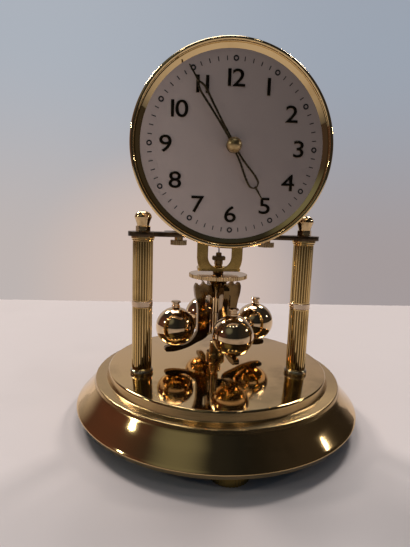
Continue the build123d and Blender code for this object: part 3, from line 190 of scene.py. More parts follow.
class Shaper:
    """Models meshes with edit mode operators."""

    @staticmethod
    def clear() -> None:
        """Leave edit mode and deselect everything."""
        if bpy.context.object is not None and bpy.context.object.mode != "OBJECT":
            bpy.ops.object.mode_set(mode="OBJECT")
        bpy.ops.object.select_all(action="DESELECT")

    @classmethod
    def pick(cls, piece: Piece) -> None:
        """Select one piece alone and make it the active one.

        Args:
            piece: The piece.
        """
        cls.clear()
        piece.select_set(True)
        bpy.context.view_layer.objects.active = piece

    @classmethod
    def edit(cls, piece: Piece) -> None:
        """Open one piece in edit mode, with all of it selected.

        Args:
            piece: The piece.
        """
        cls.pick(piece)
        bpy.ops.object.mode_set(mode="EDIT")
        bpy.ops.mesh.select_all(action="SELECT")

    @staticmethod
    def named(piece: Piece, name: str) -> Piece:
        """Give a piece and its mesh one name."""
        piece.name = piece.data.name = name
        return piece

    @classmethod
    def line(cls, name: str, places: Sequence[Vector]) -> Piece:
        """Draw a line of edges by extruding one vertex along it, and stay in edit mode.

        Args:
            name: Name of the new piece.
            places: The line's points, in metres.

        Returns:
            The new piece, with all of it selected.
        """
        cls.clear()
        bpy.ops.mesh.primitive_plane_add(size=MM)
        piece = cls.named(bpy.context.active_object, name)
        cls.edit(piece)
        bpy.ops.mesh.merge(type="CENTER")
        bpy.ops.transform.translate(value=places[0])
        for here, there in zip(places, places[1:]):
            bpy.ops.mesh.extrude_vertices_move(TRANSFORM_OT_translate={"value": there - here})
        bpy.ops.mesh.select_all(action="SELECT")
        return piece

    @classmethod
    def lathe(
        cls, name: str, profile: Profile, lay: Lay = Lay.FLAT, centre: Point = (0.0, 0.0), steps: int = 96,
    ) -> Piece:
        """Spin a profile into a turned shape.

        Args:
            name: Name of the new piece.
            profile: Radius and level of each point, from one end of the shape to the other.
            lay: Flat turns about a vertical axis, upright about one towards the viewer.
            centre: Where the axis passes, as in an outline of that lay.
            steps: Number of faces round the shape.

        Returns:
            The new piece, closed and smooth.
        """
        piece = cls.line(name, [lay.place(centre[0] + radius, centre[1], level) for radius, level in profile])
        bpy.ops.mesh.spin(
            steps=steps, angle=FULL_TURN, center=lay.place(*centre, 0.0),
            axis=lay.place(0.0, 0.0, 1.0).normalized(),
        )
        return cls.close(piece)

    @classmethod
    def slab(cls, name: str, outline: Profile, lay: Lay, level: float, thickness: float) -> Piece:
        """Fill an outline and extrude it.

        Args:
            name: Name of the new piece.
            outline: Its corners, in order.
            lay: The way it lies.
            level: Where its first face is.
            thickness: How far it is extruded.

        Returns:
            The new piece, closed and smooth.
        """
        piece = cls.line(name, [lay.place(across, along, level) for across, along in outline])
        bpy.ops.mesh.edge_face_add()
        bpy.ops.mesh.extrude_region_move(TRANSFORM_OT_translate={"value": lay.place(0.0, 0.0, thickness)})
        return cls.close(piece)

    @classmethod
    def close(cls, piece: Piece) -> Piece:
        """Merge the doubled vertices of the piece in edit mode, turn its faces outwards and smooth it.

        Args:
            piece: The piece.

        Returns:
            The same piece.
        """
        bpy.ops.mesh.select_all(action="SELECT")
        bpy.ops.mesh.remove_doubles(threshold=MERGE)
        bpy.ops.mesh.normals_make_consistent(inside=False)
        return cls.smooth(piece)

    @classmethod
    def smooth(cls, piece: Piece) -> Piece:
        """Shade a piece smooth, apart from its sharp edges.

        Args:
            piece: The piece.

        Returns:
            The same piece.
        """
        cls.pick(piece)
        bpy.ops.object.shade_smooth_by_angle(angle=math.radians(SMOOTH_ANGLE))
        return piece

    @classmethod
    def modify(cls, piece: Piece, kind: str, **settings: Any) -> None:
        """Add a modifier to a piece and apply it.

        Args:
            piece: The piece.
            kind: Type of the modifier.
            settings: What is set on it.
        """
        cls.pick(piece)
        bpy.ops.object.modifier_add(type=kind)
        modifier = piece.modifiers[-1]
        for key, value in settings.items():
            setattr(modifier, key, value)
        bpy.ops.object.modifier_apply(modifier=modifier.name)

    @classmethod
    def soften(cls, piece: Piece, width: float, segments: int = 2, angle: float = 40.0) -> Piece:
        """Round a piece's sharp edges.

        Args:
            piece: The piece.
            width: Width of the rounding.
            segments: Number of faces across it.
            angle: Smallest angle of an edge that is rounded, in degrees.

        Returns:
            The same piece.
        """
        cls.modify(
            piece, "BEVEL", width=width * MM, segments=segments, limit_method="ANGLE",
            angle_limit=math.radians(angle),
        )
        return cls.smooth(piece)

    @classmethod
    def join(cls, name: str, parts: Sequence[Piece]) -> Piece:
        """Join meshes into one piece.

        Args:
            name: Name of the piece.
            parts: The meshes.

        Returns:
            The piece.
        """
        cls.pick(parts[0])
        for part in parts[1:]:
            part.select_set(True)
        bpy.ops.object.join()
        return cls.named(parts[0], name)

    @classmethod
    def twin(cls, piece: Piece, name: str) -> Piece:
        """Copy a piece, with its own mesh.

        Args:
            piece: The piece to copy.
            name: Name of the copy.

        Returns:
            The copy.
        """
        cls.pick(piece)
        bpy.ops.object.duplicate(linked=False)
        return cls.named(bpy.context.active_object, name)

    @classmethod
    def beside(cls, piece: Piece, name: str, aside: float) -> Piece:
        """Copy a piece to its right.

        Args:
            piece: The piece to copy.
            name: Name of the copy.
            aside: How far to the right it stands.

        Returns:
            The copy.
        """
        copy = cls.twin(piece, name)
        cls.edit(copy)
        bpy.ops.transform.translate(value=Lay.FLAT.place(aside, 0.0, 0.0))
        cls.clear()
        return copy

    @classmethod
    def ring_of(
        cls, piece: Piece, turns: Sequence[float], lay: Lay, centre: Point, first: float = 0.0,
    ) -> Piece:
        """Repeat a piece's mesh round an axis.

        Args:
            piece: The piece, whose mesh is the first of the ring.
            turns: Angle from each copy to the next, in degrees.
            lay: The way in which the axis runs.
            centre: Where the axis passes.
            first: Angle by which the piece itself is turned before it is copied.

        Returns:
            The same piece.
        """
        about = {"orient_axis": lay.axis, "center_override": lay.place(*centre, 0.0)}
        cls.edit(piece)
        if first:
            bpy.ops.transform.rotate(value=math.radians(first), **about)
        for turn in turns:
            bpy.ops.mesh.duplicate()
            bpy.ops.transform.rotate(value=math.radians(turn), **about)
        cls.clear()
        return piece

    @classmethod
    def casting(cls, node: str, edge: float = 0.0) -> Piece:
        """Copy a CAD node's mesh, merge it, and smooth it.

        Args:
            node: The CAD node.
            edge: Rounding of its sharp edges, if any.

        Returns:
            The new piece.
        """
        piece = cls.twin(frame["nodes"][node], f"{node}_dressed")
        del piece["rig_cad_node"]
        cls.edit(piece)
        bpy.ops.mesh.remove_doubles(threshold=MERGE)
        bpy.ops.mesh.dissolve_limited(angle_limit=math.radians(FLAT_ANGLE))
        return cls.soften(piece, edge) if edge else cls.smooth(piece)


class Wire:
    """A socket of a shader, which takes part in arithmetic."""

    def __init__(self, graph: "Graph", socket: bpy.types.NodeSocket) -> None:
        """Wrap a socket of a graph."""
        self.graph = graph
        self.socket = socket

    def _maths(self, operation: str, first: Any, second: Any) -> "Wire":
        """Add a Math node on two values."""
        node = self.graph.node("ShaderNodeMath", {"operation": operation}, {0: first, 1: second})
        return self.graph.out(node, "Value")

    def __add__(self, other: Any) -> "Wire":
        """Sum."""
        return self._maths("ADD", self, other)

    def __sub__(self, other: Any) -> "Wire":
        """Difference."""
        return self._maths("SUBTRACT", self, other)

    def __rsub__(self, other: Any) -> "Wire":
        """Difference, with the number first."""
        return self._maths("SUBTRACT", other, self)

    def __mul__(self, other: Any) -> "Wire":
        """Product."""
        return self._maths("MULTIPLY", self, other)

    def __pow__(self, other: Any) -> "Wire":
        """Power."""
        return self._maths("POWER", self, other)

    __radd__ = __add__
    __rmul__ = __mul__


def length(first: Wire, second: Wire) -> Wire:
    """Distance from an axis, by its two parts."""
    return (first * first + second * second) ** 0.5


def along(parts: Sequence[Wire], way: Triple) -> Wire:
    """How far a vector reaches along a way."""
    return sum(part * share for part, share in zip(parts, way))


class Graph:
    """A material or world and its nodes."""

    def __init__(self, owner: Any, output: str) -> None:
        """Empty the owner's nodes and add its output.

        Args:
            owner: A material or a world.
            output: Type of the output node.
        """
        self.owner = owner
        owner.use_nodes = True
        self.tree = owner.node_tree
        self.tree.nodes.clear()
        self.output = self.node(output)

    def node(
        self, kind: str, settings: dict[str, Any] | None = None, inputs: dict[Any, Any] | None = None,
    ) -> bpy.types.Node:
        """Add a node.

        Args:
            kind: Type of the node.
            settings: Its settings, and the stops of a ramp.
            inputs: Values or links of its sockets, by name or number.

        Returns:
            The node.
        """
        node = self.tree.nodes.new(kind)
        for key, value in (settings or {}).items():
            if key == "stops":
                elements = node.color_ramp.elements
                while len(elements) < len(value):
                    elements.new(1.0)
                for element, (position, colour) in zip(elements, value):
                    element.position = position
                    element.color = (*colour, 1.0)
            else:
                setattr(node, key, value)
        for key, value in (inputs or {}).items():
            if isinstance(value, Wire):
                self.tree.links.new(value.socket, node.inputs[key])
            else:
                node.inputs[key].default_value = value
        return node

    def out(self, node: bpy.types.Node, name: str) -> Wire:
        """Wrap an output of a node."""
        return Wire(self, node.outputs[name])

    def show(self, node: bpy.types.Node, name: str) -> None:
        """Link a shader to the graph's output."""
        self.tree.links.new(node.outputs[name], self.output.inputs["Surface"])

    def split(self, vector: Wire) -> tuple[Wire, ...]:
        """The three parts of a vector."""
        node = self.node("ShaderNodeSeparateXYZ", None, {0: vector})
        return tuple(self.out(node, axis) for axis in "XYZ")

    def noise(self, vector: Wire, scale: float, detail: float, spread: float = 0.5) -> Wire:
        """Noise between 0 and 1.

        Args:
            vector: Where it is read.
            scale: Its scale.
            detail: Number of finer layers.
            spread: Strength of the finer layers.

        Returns:
            The noise's value.
        """
        node = self.node("ShaderNodeTexNoise", None, {
            "Vector": vector, "Scale": scale, "Detail": detail, "Roughness": spread,
        })
        return self.out(node, "Fac")

    def ramp(self, value: Wire, low: float, high: float) -> Wire:
        """Stretch part of a value's range to run from 0 to 1.

        Args:
            value: The value.
            low: Where the result is 0.
            high: Where the result is 1.

        Returns:
            The result, with soft ends.
        """
        node = self.node("ShaderNodeMapRange", {"interpolation_type": "SMOOTHSTEP"}, {
            "Value": value, "From Min": low, "From Max": high,
        })
        return self.out(node, "Result")

    def blend(self, share: Wire, first: Wire | Colour, second: Wire | Colour) -> Wire:
        """Mix two colours.

        Args:
            share: Share of the second.
            first: First colour.
            second: Second colour.

        Returns:
            The mixed colour.
        """
        first, second = (part if isinstance(part, Wire) else (*part, 1.0) for part in (first, second))
        node = self.node("ShaderNodeMix", {"data_type": "RGBA"}, {0: share, 6: first, 7: second})
        return Wire(self, node.outputs[2])


@dataclass(frozen=True)
class Finish:
    """A surface with uneven colour, uneven gloss and fine marks."""

    colour: Colour
    shade: Colour
    rough: float
    rough_spread: float
    metallic: float = 1.0
    grain: Grain = Grain.CLOUDY
    centre: Triple = (0.0, 0.0, 0.0)
    patch_scale: float = 60.0
    patch_range: Point = (0.42, 0.72)
    patch_detail: float = 4.0
    patch_share: float = 0.8
    mark_scale: float = 900.0
    mark_slow_share: float = 0.05
    mark_detail: Point = (3.0, 0.6)
    mark_depth: float = 0.05
    mark_height: float = 0.2
    mark_share: float = 0.25
    dirt_scale_share: float = 4.1
    dirt_detail: float = 3.0
    dirt_share: float = 0.8
    hollow: tuple[float, float, float, float] | None = None
    hollow_share: float = 0.4
    rubbed: Point | None = None
    rubbed_edge: float = 0.6
    rubbed_shares: Point = (0.55, 0.6)
    rubbed_rough: float = 0.16
    # Painted shade: a way along which the colour darkens, standing for light that falls unevenly on the
    # surface.
    dulls: Triple | None = None
    dull_range: Point = (-52.0, 48.0)
    dull_share: float = 0.58

    def material(self, name: str) -> Material:
        """Build the material.

        Args:
            name: Its name.

        Returns:
            The material.
        """
        graph = Graph(bpy.data.materials.new(name), "ShaderNodeOutputMaterial")
        here = graph.out(graph.node("ShaderNodeTexCoord"), "Object")
        place = graph.out(graph.node("ShaderNodeMapping", None, {
            "Vector": here, "Location": tuple(-value * MM for value in self.centre),
        }), "Vector")
        marks = graph.noise(self._marks_at(graph, place), 1.0, *self.mark_detail)
        patches = graph.ramp(graph.noise(here, self.patch_scale, self.patch_detail), *self.patch_range)
        dirt = graph.noise(here, self.patch_scale * self.dirt_scale_share, self.dirt_detail)
        worn = patches * self.patch_share + (marks - NOISE_MEAN) * self.mark_share
        base = graph.blend(graph.ramp(worn, 0.0, 1.0), self.colour, self.shade)
        gloss = self.rough + (patches + (dirt - NOISE_MEAN) * self.dirt_share) * self.rough_spread
        if self.hollow is not None:
            base = graph.blend(self._in_hollow(graph, here), base, self._darker(self.hollow_share))
        # Painted shade: the colour darkens towards one side, as if less light fell there.
        if self.dulls is not None:
            base = graph.blend(self._dulled(graph, place), base, self._darker(self.dull_share))
        if self.rubbed is not None:
            even, dirty = self.rubbed_shares
            ring = self._in_ring(graph, here) * (even + dirt * dirty)
            base = graph.blend(ring, base, self.shade)
            gloss = gloss + ring * self.rubbed_rough
        bump = graph.node("ShaderNodeBump", None, {
            "Strength": self.mark_depth, "Distance": self.mark_height * MM, "Height": marks,
        })
        graph.show(graph.node("ShaderNodeBsdfPrincipled", None, {
            "Base Color": base, "Roughness": gloss, "Metallic": self.metallic,
            "Normal": graph.out(bump, "Normal"),
        }), "BSDF")
        return graph.owner

    def _darker(self, share: float) -> Colour:
        """A share of the shade."""
        return tuple(share * value for value in self.shade)

    def _dulled(self, graph: Graph, place: Wire) -> Wire:
        """How far a place lies along the way in which the finish dulls, from nothing to one."""
        low, high = (value * MM for value in self.dull_range)
        return graph.ramp(along(graph.split(place), self.dulls), low, high)

    def _in_ring(self, graph: Graph, here: Wire) -> Wire:
        """Whether a place lies in the ring that something rubs on.

        Args:
            graph: The material's graph.
            here: Place on the piece.

        Returns:
            One in the ring, nothing outside it.
        """
        x, y, _ = graph.split(here)
        inner, outer, edge = (value * MM for value in (*self.rubbed, self.rubbed_edge))
        away = length(x, y)
        return graph.ramp(away, inner - edge, inner) * (1.0 - graph.ramp(away, outer, outer + edge))

    def _in_hollow(self, graph: Graph, here: Wire) -> Wire:
        """How deep a place lies in the hollows round two upright axes.

        Args:
            graph: The material's graph.
            here: Place on the piece.

        Returns:
            One at the bottom of a hollow, nothing at its edge.
        """
        aside, forward, bottom, edge = (value * MM for value in self.hollow)
        x, y, _ = graph.split(here)
        away = length((x * x) ** 0.5 - aside, y + forward)
        return 1.0 - graph.ramp(away, bottom, edge)

    def _marks_at(self, graph: Graph, place: Wire) -> Wire:
        """Where the noise of the fine marks is read.

        Args:
            graph: The material's graph.
            place: Place on the piece, from the finish's centre.

        Returns:
            A vector that runs fast across the marks and slowly along them.
        """
        x, y, z = graph.split(place)
        fast, slow = self.mark_scale, self.mark_scale * self.mark_slow_share
        if self.grain is Grain.SPUN:
            parts = (length(x, y) * fast, z * fast, x * slow)
        elif self.grain is Grain.ROUND_DIAL:
            parts = (length(x, z) * fast, y * fast, x * slow)
        else:
            parts = (x * fast, y * fast, z * (slow if self.grain is Grain.UPRIGHT else fast))
        return graph.out(graph.node("ShaderNodeCombineXYZ", None, dict(enumerate(parts))), "Vector")


DIAL_CENTRE: Triple = (0.0, -31.0, DIAL_HEIGHT)


class Look(Enum):
    """The clock's finishes."""

    SPUN_BRASS = Finish(
        (0.79, 0.55, 0.26), (0.50, 0.34, 0.15), 0.055, 0.06, grain=Grain.SPUN, patch_scale=28.0,
        rubbed=(58.6, 65.2),
    )
    PILLAR_BRASS = Finish(
        (0.84, 0.59, 0.25), (0.50, 0.34, 0.13), 0.09, 0.08, grain=Grain.UPRIGHT, patch_scale=70.0,
        mark_depth=0.012, hollow=(40.0, 15.5, 4.58, 4.92),
    )
    BAND_BRASS = Finish((0.80, 0.62, 0.44), (0.62, 0.45, 0.29), 0.22, 0.10, patch_scale=90.0, mark_depth=0.02)
    RING_BRASS = Finish((0.55, 0.48, 0.36), (0.34, 0.27, 0.18), 0.08, 0.10, patch_scale=90.0, mark_depth=0.02)
    BEZEL_BRASS = Finish(
        (0.86, 0.64, 0.32), (0.66, 0.44, 0.19), 0.03, 0.03, grain=Grain.ROUND_DIAL, centre=DIAL_CENTRE,
        patch_scale=35.0, mark_depth=0.03,
    )
    BALL_BRASS = Finish((0.76, 0.57, 0.35), (0.54, 0.37, 0.20), 0.03, 0.04, patch_scale=90.0, mark_depth=0.02)
    FITTING_BRASS = Finish(
        (0.70, 0.51, 0.27), (0.40, 0.27, 0.12), 0.08, 0.10, patch_scale=120.0, mark_depth=0.02,
    )
    AGED_BRASS = Finish((0.52, 0.345, 0.105), (0.25, 0.15, 0.045), 0.20, 0.16, patch_scale=90.0)
    DARK_BRASS = Finish((0.11, 0.075, 0.045), (0.05, 0.033, 0.02), 0.30, 0.20, patch_scale=110.0)
    BRONZED_BRASS = Finish((0.23, 0.145, 0.058), (0.085, 0.052, 0.026), 0.11, 0.12, patch_scale=110.0)
    PLATE_BRASS = Finish(
        (0.60, 0.45, 0.23), (0.42, 0.30, 0.14), 0.26, 0.16, grain=Grain.UPRIGHT, patch_scale=45.0,
    )
    HAND_BRASS = Finish((0.32, 0.24, 0.13), (0.11, 0.075, 0.04), 0.22, 0.18, patch_scale=150.0)
    STEEL = Finish((0.56, 0.56, 0.57), (0.36, 0.35, 0.34), 0.26, 0.16, patch_scale=110.0)
    # The silvered dial carries painted shade, darker towards its upper right, as if lit from the left.
    SILVERED = Finish(
        (0.88, 0.70, 0.605), (0.77, 0.61, 0.53), 0.46, 0.10, metallic=0.15, centre=DIAL_CENTRE,
        patch_scale=30.0, mark_scale=2600.0, mark_depth=0.16, dulls=(0.93, 0.0, 0.37),
    )
    NUMERAL = Finish((0.16, 0.12, 0.07), (0.06, 0.045, 0.03), 0.10, 0.10, patch_scale=200.0)
    INK = Finish((0.02, 0.017, 0.015), (0.045, 0.036, 0.03), 0.42, 0.16, metallic=0.0, patch_scale=200.0)
    BLACK_PAINT = Finish((0.025, 0.025, 0.025), (0.05, 0.045, 0.04), 0.5, 0.2, metallic=0.0, patch_scale=80.0)

    @cache
    def material(self) -> Material:
        """The finish's material, which is built once."""
        return self.value.material(self.name.lower())


class Assembly:
    """A group of pieces that share the way they are kept."""

    def dress(self, piece: Piece, look: Look, slot: str, *nodes: str) -> None:
        """Give a piece its finish and the CAD nodes that it stands for.

        Args:
            piece: The piece.
            look: Its finish.
            slot: The record's material slot.
            nodes: The CAD nodes that it replaces.
        """
        piece.data.materials.clear()
        piece.data.materials.append(look.material())
        if nodes:
            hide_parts(*nodes)
        LOG.info("%s: %d faces, %s", piece.name, len(piece.data.polygons), look.name.lower())

    def keep(self, piece: Piece, look: Look, body: str, slot: str, *nodes: str) -> None:
        """Let a piece ride on a CAD body, and dress it."""
        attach(piece, body)
        self.dress(piece, look, slot, *nodes)


@dataclass(frozen=True)
class Knurling:
    """A round edge with small notches."""

    radius: float
    count: int
    notch: float
    edge: float = 0.14
    notch_shares: tuple[Point, ...] = ((0.0, 1.0), (0.25, 0.35), (0.4, 0.0), (0.6, 0.0), (0.75, 0.35))

    def outline(self, centre: Point) -> list[Point]:
        """Outline of a disc with the notched edge.

        Args:
            centre: Where its axis stands.

        Returns:
            Its corners.
        """
        points = []
        for index in range(self.count):
            for share, depth in self.notch_shares:
                angle = FULL_TURN * (index + share) / self.count
                points.append(polar(centre, self.radius - depth * self.notch, angle))
        return points

    def disc(self, name: str, centre: Point, level: float, thickness: float) -> Piece:
        """A knurled disc with softened edges, whose underside is at a level."""
        disc = Shaper.slab(name, self.outline(centre), Lay.FLAT, level, thickness)
        return Shaper.soften(disc, self.edge, angle=60.0)


@dataclass
class SpunBase(Assembly):
    """The base, its levelling feet and the guide post."""

    rim: float = 74.4
    rim_height: float = 8.4
    rim_edge: float = 0.6
    lower: float = 73.2
    lower_height: float = 6.0
    ledge: float = 65.0
    ledge_height: float = 21.7
    ledge_edge: float = 0.9
    platform: float = 58.3
    platform_height: float = 26.2
    platform_edge: float = 1.0
    lean: float = 0.8
    corner: float = 0.5
    skirt_top: Point = (0.1, -1.6)
    skirt_hollow: float = 1.0
    skirt_foot: Point = (-0.5, 0.9)
    wall: float = 1.2
    foot_circle: float = 61.0
    first_foot: float = -90.0
    next_foot: float = 120.0
    foot_height: float = 4.2
    foot_edge: Knurling = Knurling(8.8, 36, 0.3)
    stud: float = 2.0
    stud_top: float = 15.2
    stud_sunk: float = 0.1
    flange: float = 5.4
    flange_height: float = 3.1
    flange_bevel: Point = (0.4, 0.5)
    post: float = 3.4
    post_height: float = 9.2
    post_round: float = 0.8
    post_edge: float = 0.2
    post_bore: float = 1.9
    post_depth: float = 6.0
    grooves: Point = (4.6, 6.4)
    groove: tuple[Point, ...] = ((0.0, -0.1), (0.4, 0.1), (0.4, 0.3), (0.0, 0.5))

    def build(self) -> None:
        """Build and dress the base's pieces."""
        shell = Shaper.lathe("base", self.shell(), steps=192)
        self.keep(shell, Look.SPUN_BRASS, "frame", "spun_brass", "base_shell")
        for index, side in enumerate(("front", "right", "left")):
            turn = math.radians(self.first_foot + self.next_foot * index)
            centre = polar((0.0, 0.0), self.foot_circle, turn)
            foot = self.foot(f"levelling_foot_{side}", centre)
            self.keep(foot, Look.AGED_BRASS, f"foot_{side}_body", "aged_brass", f"foot_{side}")
        post = Shaper.lathe("post", self.guide(), centre=AXIS)
        self.keep(post, Look.FITTING_BRASS, "frame", "polished_brass", "guide_post")

    def shell(self) -> list[Point]:
        """Profile of the shell.

        Returns:
            Its points, from the middle of its top round to the middle of its inside.
        """
        top, step, wall, low = self.platform_height, self.ledge_height, self.wall, self.lower_height
        edge, corner, foot = self.platform_edge, self.corner, self.platform + self.lean
        outer = [(0.0, top), *arc((self.platform - edge, top - edge), edge, 90.0, 8.0, 8)]
        outer += arc((foot + corner, step + corner), corner, 185.0, 270.0, 5)
        outer += arc((self.ledge - self.ledge_edge, step - self.ledge_edge), self.ledge_edge, 90.0, 30.0, 6)
        start = (self.ledge + self.skirt_top[0], step + self.skirt_top[1])
        middle = ((self.ledge + self.rim) / 2 - self.skirt_hollow, (step + self.rim_height) / 2)
        end = (self.rim + self.skirt_foot[0], self.rim_height + self.skirt_foot[1])
        outer += flow([start, middle, end], 10)
        outer += arc((self.rim - self.rim_edge, self.rim_height), self.rim_edge, 40.0, -50.0, 6)
        inner = [(self.lower, low), (self.lower - wall, low), (self.rim - 2 * wall, self.rim_height)]
        inner += [(middle[0] - wall, middle[1] - wall), (self.ledge - wall, step - wall)]
        inner += [(self.platform - wall, step - wall), (self.platform - wall, top - wall)]
        return outer + inner + [(0.0, top - wall)]

    def foot(self, name: str, centre: Point) -> Piece:
        """A knurled levelling foot on its stud.

        Args:
            name: Name of the piece.
            centre: Where it stands.

        Returns:
            The piece.
        """
        disc = self.foot_edge.disc(name, centre, 0.0, self.foot_height)
        rod = washer(0.0, self.stud, self.foot_height - self.stud_sunk, self.stud_top)
        return Shaper.join(name, [disc, Shaper.lathe("stud", rod, centre=centre, steps=32)])

    def guide(self) -> list[Point]:
        """Profile of the guide post, with a flange, two turned grooves and a bore.

        Returns:
            Its points, from the middle of its foot to the floor of its bore.
        """
        low, high = self.platform_height, self.platform_height + self.post_height
        edge, (inwards, down), shoulder = self.post_edge, self.flange_bevel, low + self.flange_height
        profile = [(0.0, low), (self.flange - edge, low), (self.flange, low + edge)]
        profile += [(self.flange, shoulder - down), (self.flange - inwards, shoulder), (self.post, shoulder)]
        for height in self.grooves:
            profile += [(self.post - depth, low + height + rise) for depth, rise in self.groove]
        profile += arc((self.post - self.post_round, high - self.post_round), self.post_round, 0.0, 90.0, 6)
        bore, floor = self.post_bore, high - self.post_depth
        return profile + [(bore + edge, high), (bore, high - edge), (bore, floor), (0.0, floor)]


@dataclass
class Pillars(Assembly):
    """The two fluted pillars with their rings, caps and finials, and the bar across them."""

    spread: float = 40.0
    forward: float = 15.5
    radius: float = 4.95
    flutes: int = 24
    flute: float = 0.42
    flute_shares: tuple[float, ...] = (-1.0, -0.8, -0.45, 0.0, 0.45, 0.8, 1.0)
    low: float = 28.4
    high: float = 93.4
    collar: float = 0.6
    collar_bevel: Point = (0.1, 0.1)
    band: Point = (60.7, 63.7)
    band_radius: float = 5.15
    band_bevel: Point = (0.25, 0.3)
    bore: float = 1.96
    foot_low: float = 26.2
    foot_radius: float = 5.85
    foot_round: float = 0.9
    cap_top: float = 95.5
    cap_steps: tuple[Point, ...] = (
        (5.2, 93.4), (5.4, 93.6), (5.4, 94.2), (5.6, 94.35), (5.75, 94.5), (5.75, 95.3), (5.55, 95.5),
    )
    bar_top: float = 97.7
    bar_edge: float = 0.25
    finial_sides: int = 6
    finial_collar: float = 3.6
    finial_collar_height: float = 2.7
    finial_edge: float = 0.25
    finial_sunk: float = 0.05
    acorn_foot: float = 2.95
    acorn_neck: Point = (3.05, 3.6)
    acorn_cup: tuple[Point, ...] = (
        (3.7, 5.6), (4.12, 6.6), (4.15, 7.1), (3.7, 8.4), (2.3, 9.55), (0.0, 10.0),
    )
    thumb_spread: float = 22.6
    thumb_forward: float = 7.75
    thumb_low: float = 91.0
    thumb_height: float = 2.5
    thumb_edge: Knurling = Knurling(4.15, 28, 0.3)
    shank: tuple[Point, ...] = (
        (0.0, 93.4), (2.2, 93.4), (2.2, 95.3), (2.0, 95.5), (1.4, 95.5), (1.4, 102.3), (0.0, 102.3),
    )

    def build(self) -> None:
        """Build and dress both pillars, the bar and its thumb screws."""
        left = (-self.spread, -self.forward)
        for kind, first, look, slot, node in (
            ("pillar", self.shaft(left), Look.PILLAR_BRASS, "pillar_brass", "pillar_{}"),
            ("band", self.plain_band(left), Look.BAND_BRASS, "pillar_brass", "pillar_{}"),
            ("foot_ring", self.ring(left), Look.RING_BRASS, "pillar_brass", "pillar_feet"),
            ("cap", self.cap(left), Look.PILLAR_BRASS, "pillar_brass", "pillar_caps"),
            ("finial", self.acorn(left), Look.FITTING_BRASS, "polished_brass", "finial_{}"),
        ):
            Shaper.named(first, f"{kind}_left_hand")
            twin = Shaper.beside(first, f"{kind}_right_hand", 2 * self.spread)
            self.keep(first, look, "frame", slot, node.format("left"))
            self.keep(twin, look, "frame", slot, node.format("right"))
        bar = Shaper.casting("movement_bar", self.bar_edge)
        self.keep(bar, Look.DARK_BRASS, "frame", "aged_brass", "movement_bar")
        screw = self.thumb_screw((-self.thumb_spread, -self.thumb_forward))
        for piece in (screw, Shaper.beside(screw, "thumb_screw_right", 2 * self.thumb_spread)):
            self.keep(piece, Look.FITTING_BRASS, "frame", "polished_brass", "thumb_screws")

    def flute_points(self) -> list[Point]:
        """Angle and radius of the points of one flute, whose ends lie on the pillar's own radius.

        Returns:
            The points, across the flute.
        """
        points = []
        for share in self.flute_shares:
            depth = self.flute * math.sqrt(1.0 - share ** 2)
            points.append((share * self.flute / self.radius, self.radius - depth))
        return points

    def shaft(self, centre: Point) -> Piece:
        """A fluted tube in two lengths, with room between them for the band.

        Args:
            centre: Where it stands.

        Returns:
            The piece.
        """
        outline = []
        for index in range(self.flutes):
            middle = FULL_TURN * index / self.flutes
            outline += [polar(centre, radius, middle + turn) for turn, radius in self.flute_points()]
        collar = self.collar
        parts = []
        for low, high in ((self.low, self.band[0]), (self.band[1], self.high)):
            parts.append(Shaper.slab("fluted", outline, Lay.FLAT, low + collar, high - low - 2 * collar))
            for end in (low, high - collar):
                profile = washer(self.bore, self.radius, end, end + collar, self.collar_bevel)
                parts.append(Shaper.lathe("collar", profile, centre=centre, steps=72))
        return Shaper.join("pillar", parts)

    def plain_band(self, centre: Point) -> Piece:
        """The plain band round the middle of a pillar."""
        profile = washer(self.bore, self.band_radius, *self.band, self.band_bevel)
        return Shaper.lathe("band", profile, centre=centre)

    def ring(self, centre: Point) -> Piece:
        """The rounded ring that a pillar stands on.

        Args:
            centre: Where the pillar stands.

        Returns:
            The piece.
        """
        middle, half = (self.foot_low + self.low) / 2, (self.low - self.foot_low) / 2
        inner, swell = self.foot_radius - self.foot_round, self.foot_round
        rounded = [(inner + swell * x, middle + half * z) for x, z in arc((0.0, 0.0), 1.0, -90.0, 90.0, 10)]
        profile = [(self.bore, self.foot_low), *rounded, (self.bore, self.low), (self.bore, self.foot_low)]
        return Shaper.lathe("foot_ring", profile, centre=centre)

    def cap(self, centre: Point) -> Piece:
        """The two-step cap between a pillar and the bar."""
        profile = [(self.bore, self.high), *self.cap_steps, (self.bore, self.cap_top), (self.bore, self.high)]
        return Shaper.lathe("cap", profile, centre=centre)

    def acorn(self, centre: Point) -> Piece:
        """A finial: a six-sided collar with an acorn on it.

        Args:
            centre: Where it stands.

        Returns:
            The piece.
        """
        sides = self.finial_sides
        corners = [polar(centre, self.finial_collar, FULL_TURN * index / sides) for index in range(sides)]
        collar = Shaper.slab("collar", corners, Lay.FLAT, self.bar_top, self.finial_collar_height)
        Shaper.soften(collar, self.finial_edge, segments=3, angle=30.0)
        start = self.bar_top + self.finial_collar_height - self.finial_sunk
        neck, *cup = [(radius, self.bar_top + rise) for radius, rise in (self.acorn_neck, *self.acorn_cup)]
        profile = [(0.0, start), (self.acorn_foot, start), neck, *flow(cup, 5)]
        return Shaper.join("finial", [collar, Shaper.lathe("acorn", profile, centre=centre, steps=64)])

    def thumb_screw(self, centre: Point) -> Piece:
        """A knurled screw under the bar, which holds the movement down.

        Args:
            centre: Where its axis stands.

        Returns:
            The piece.
        """
        head = self.thumb_edge.disc("head", centre, self.thumb_low, self.thumb_height)
        shank = Shaper.lathe("shank", self.shank, centre=centre, steps=48)
        return Shaper.join("thumb_screw_left", [head, shank])


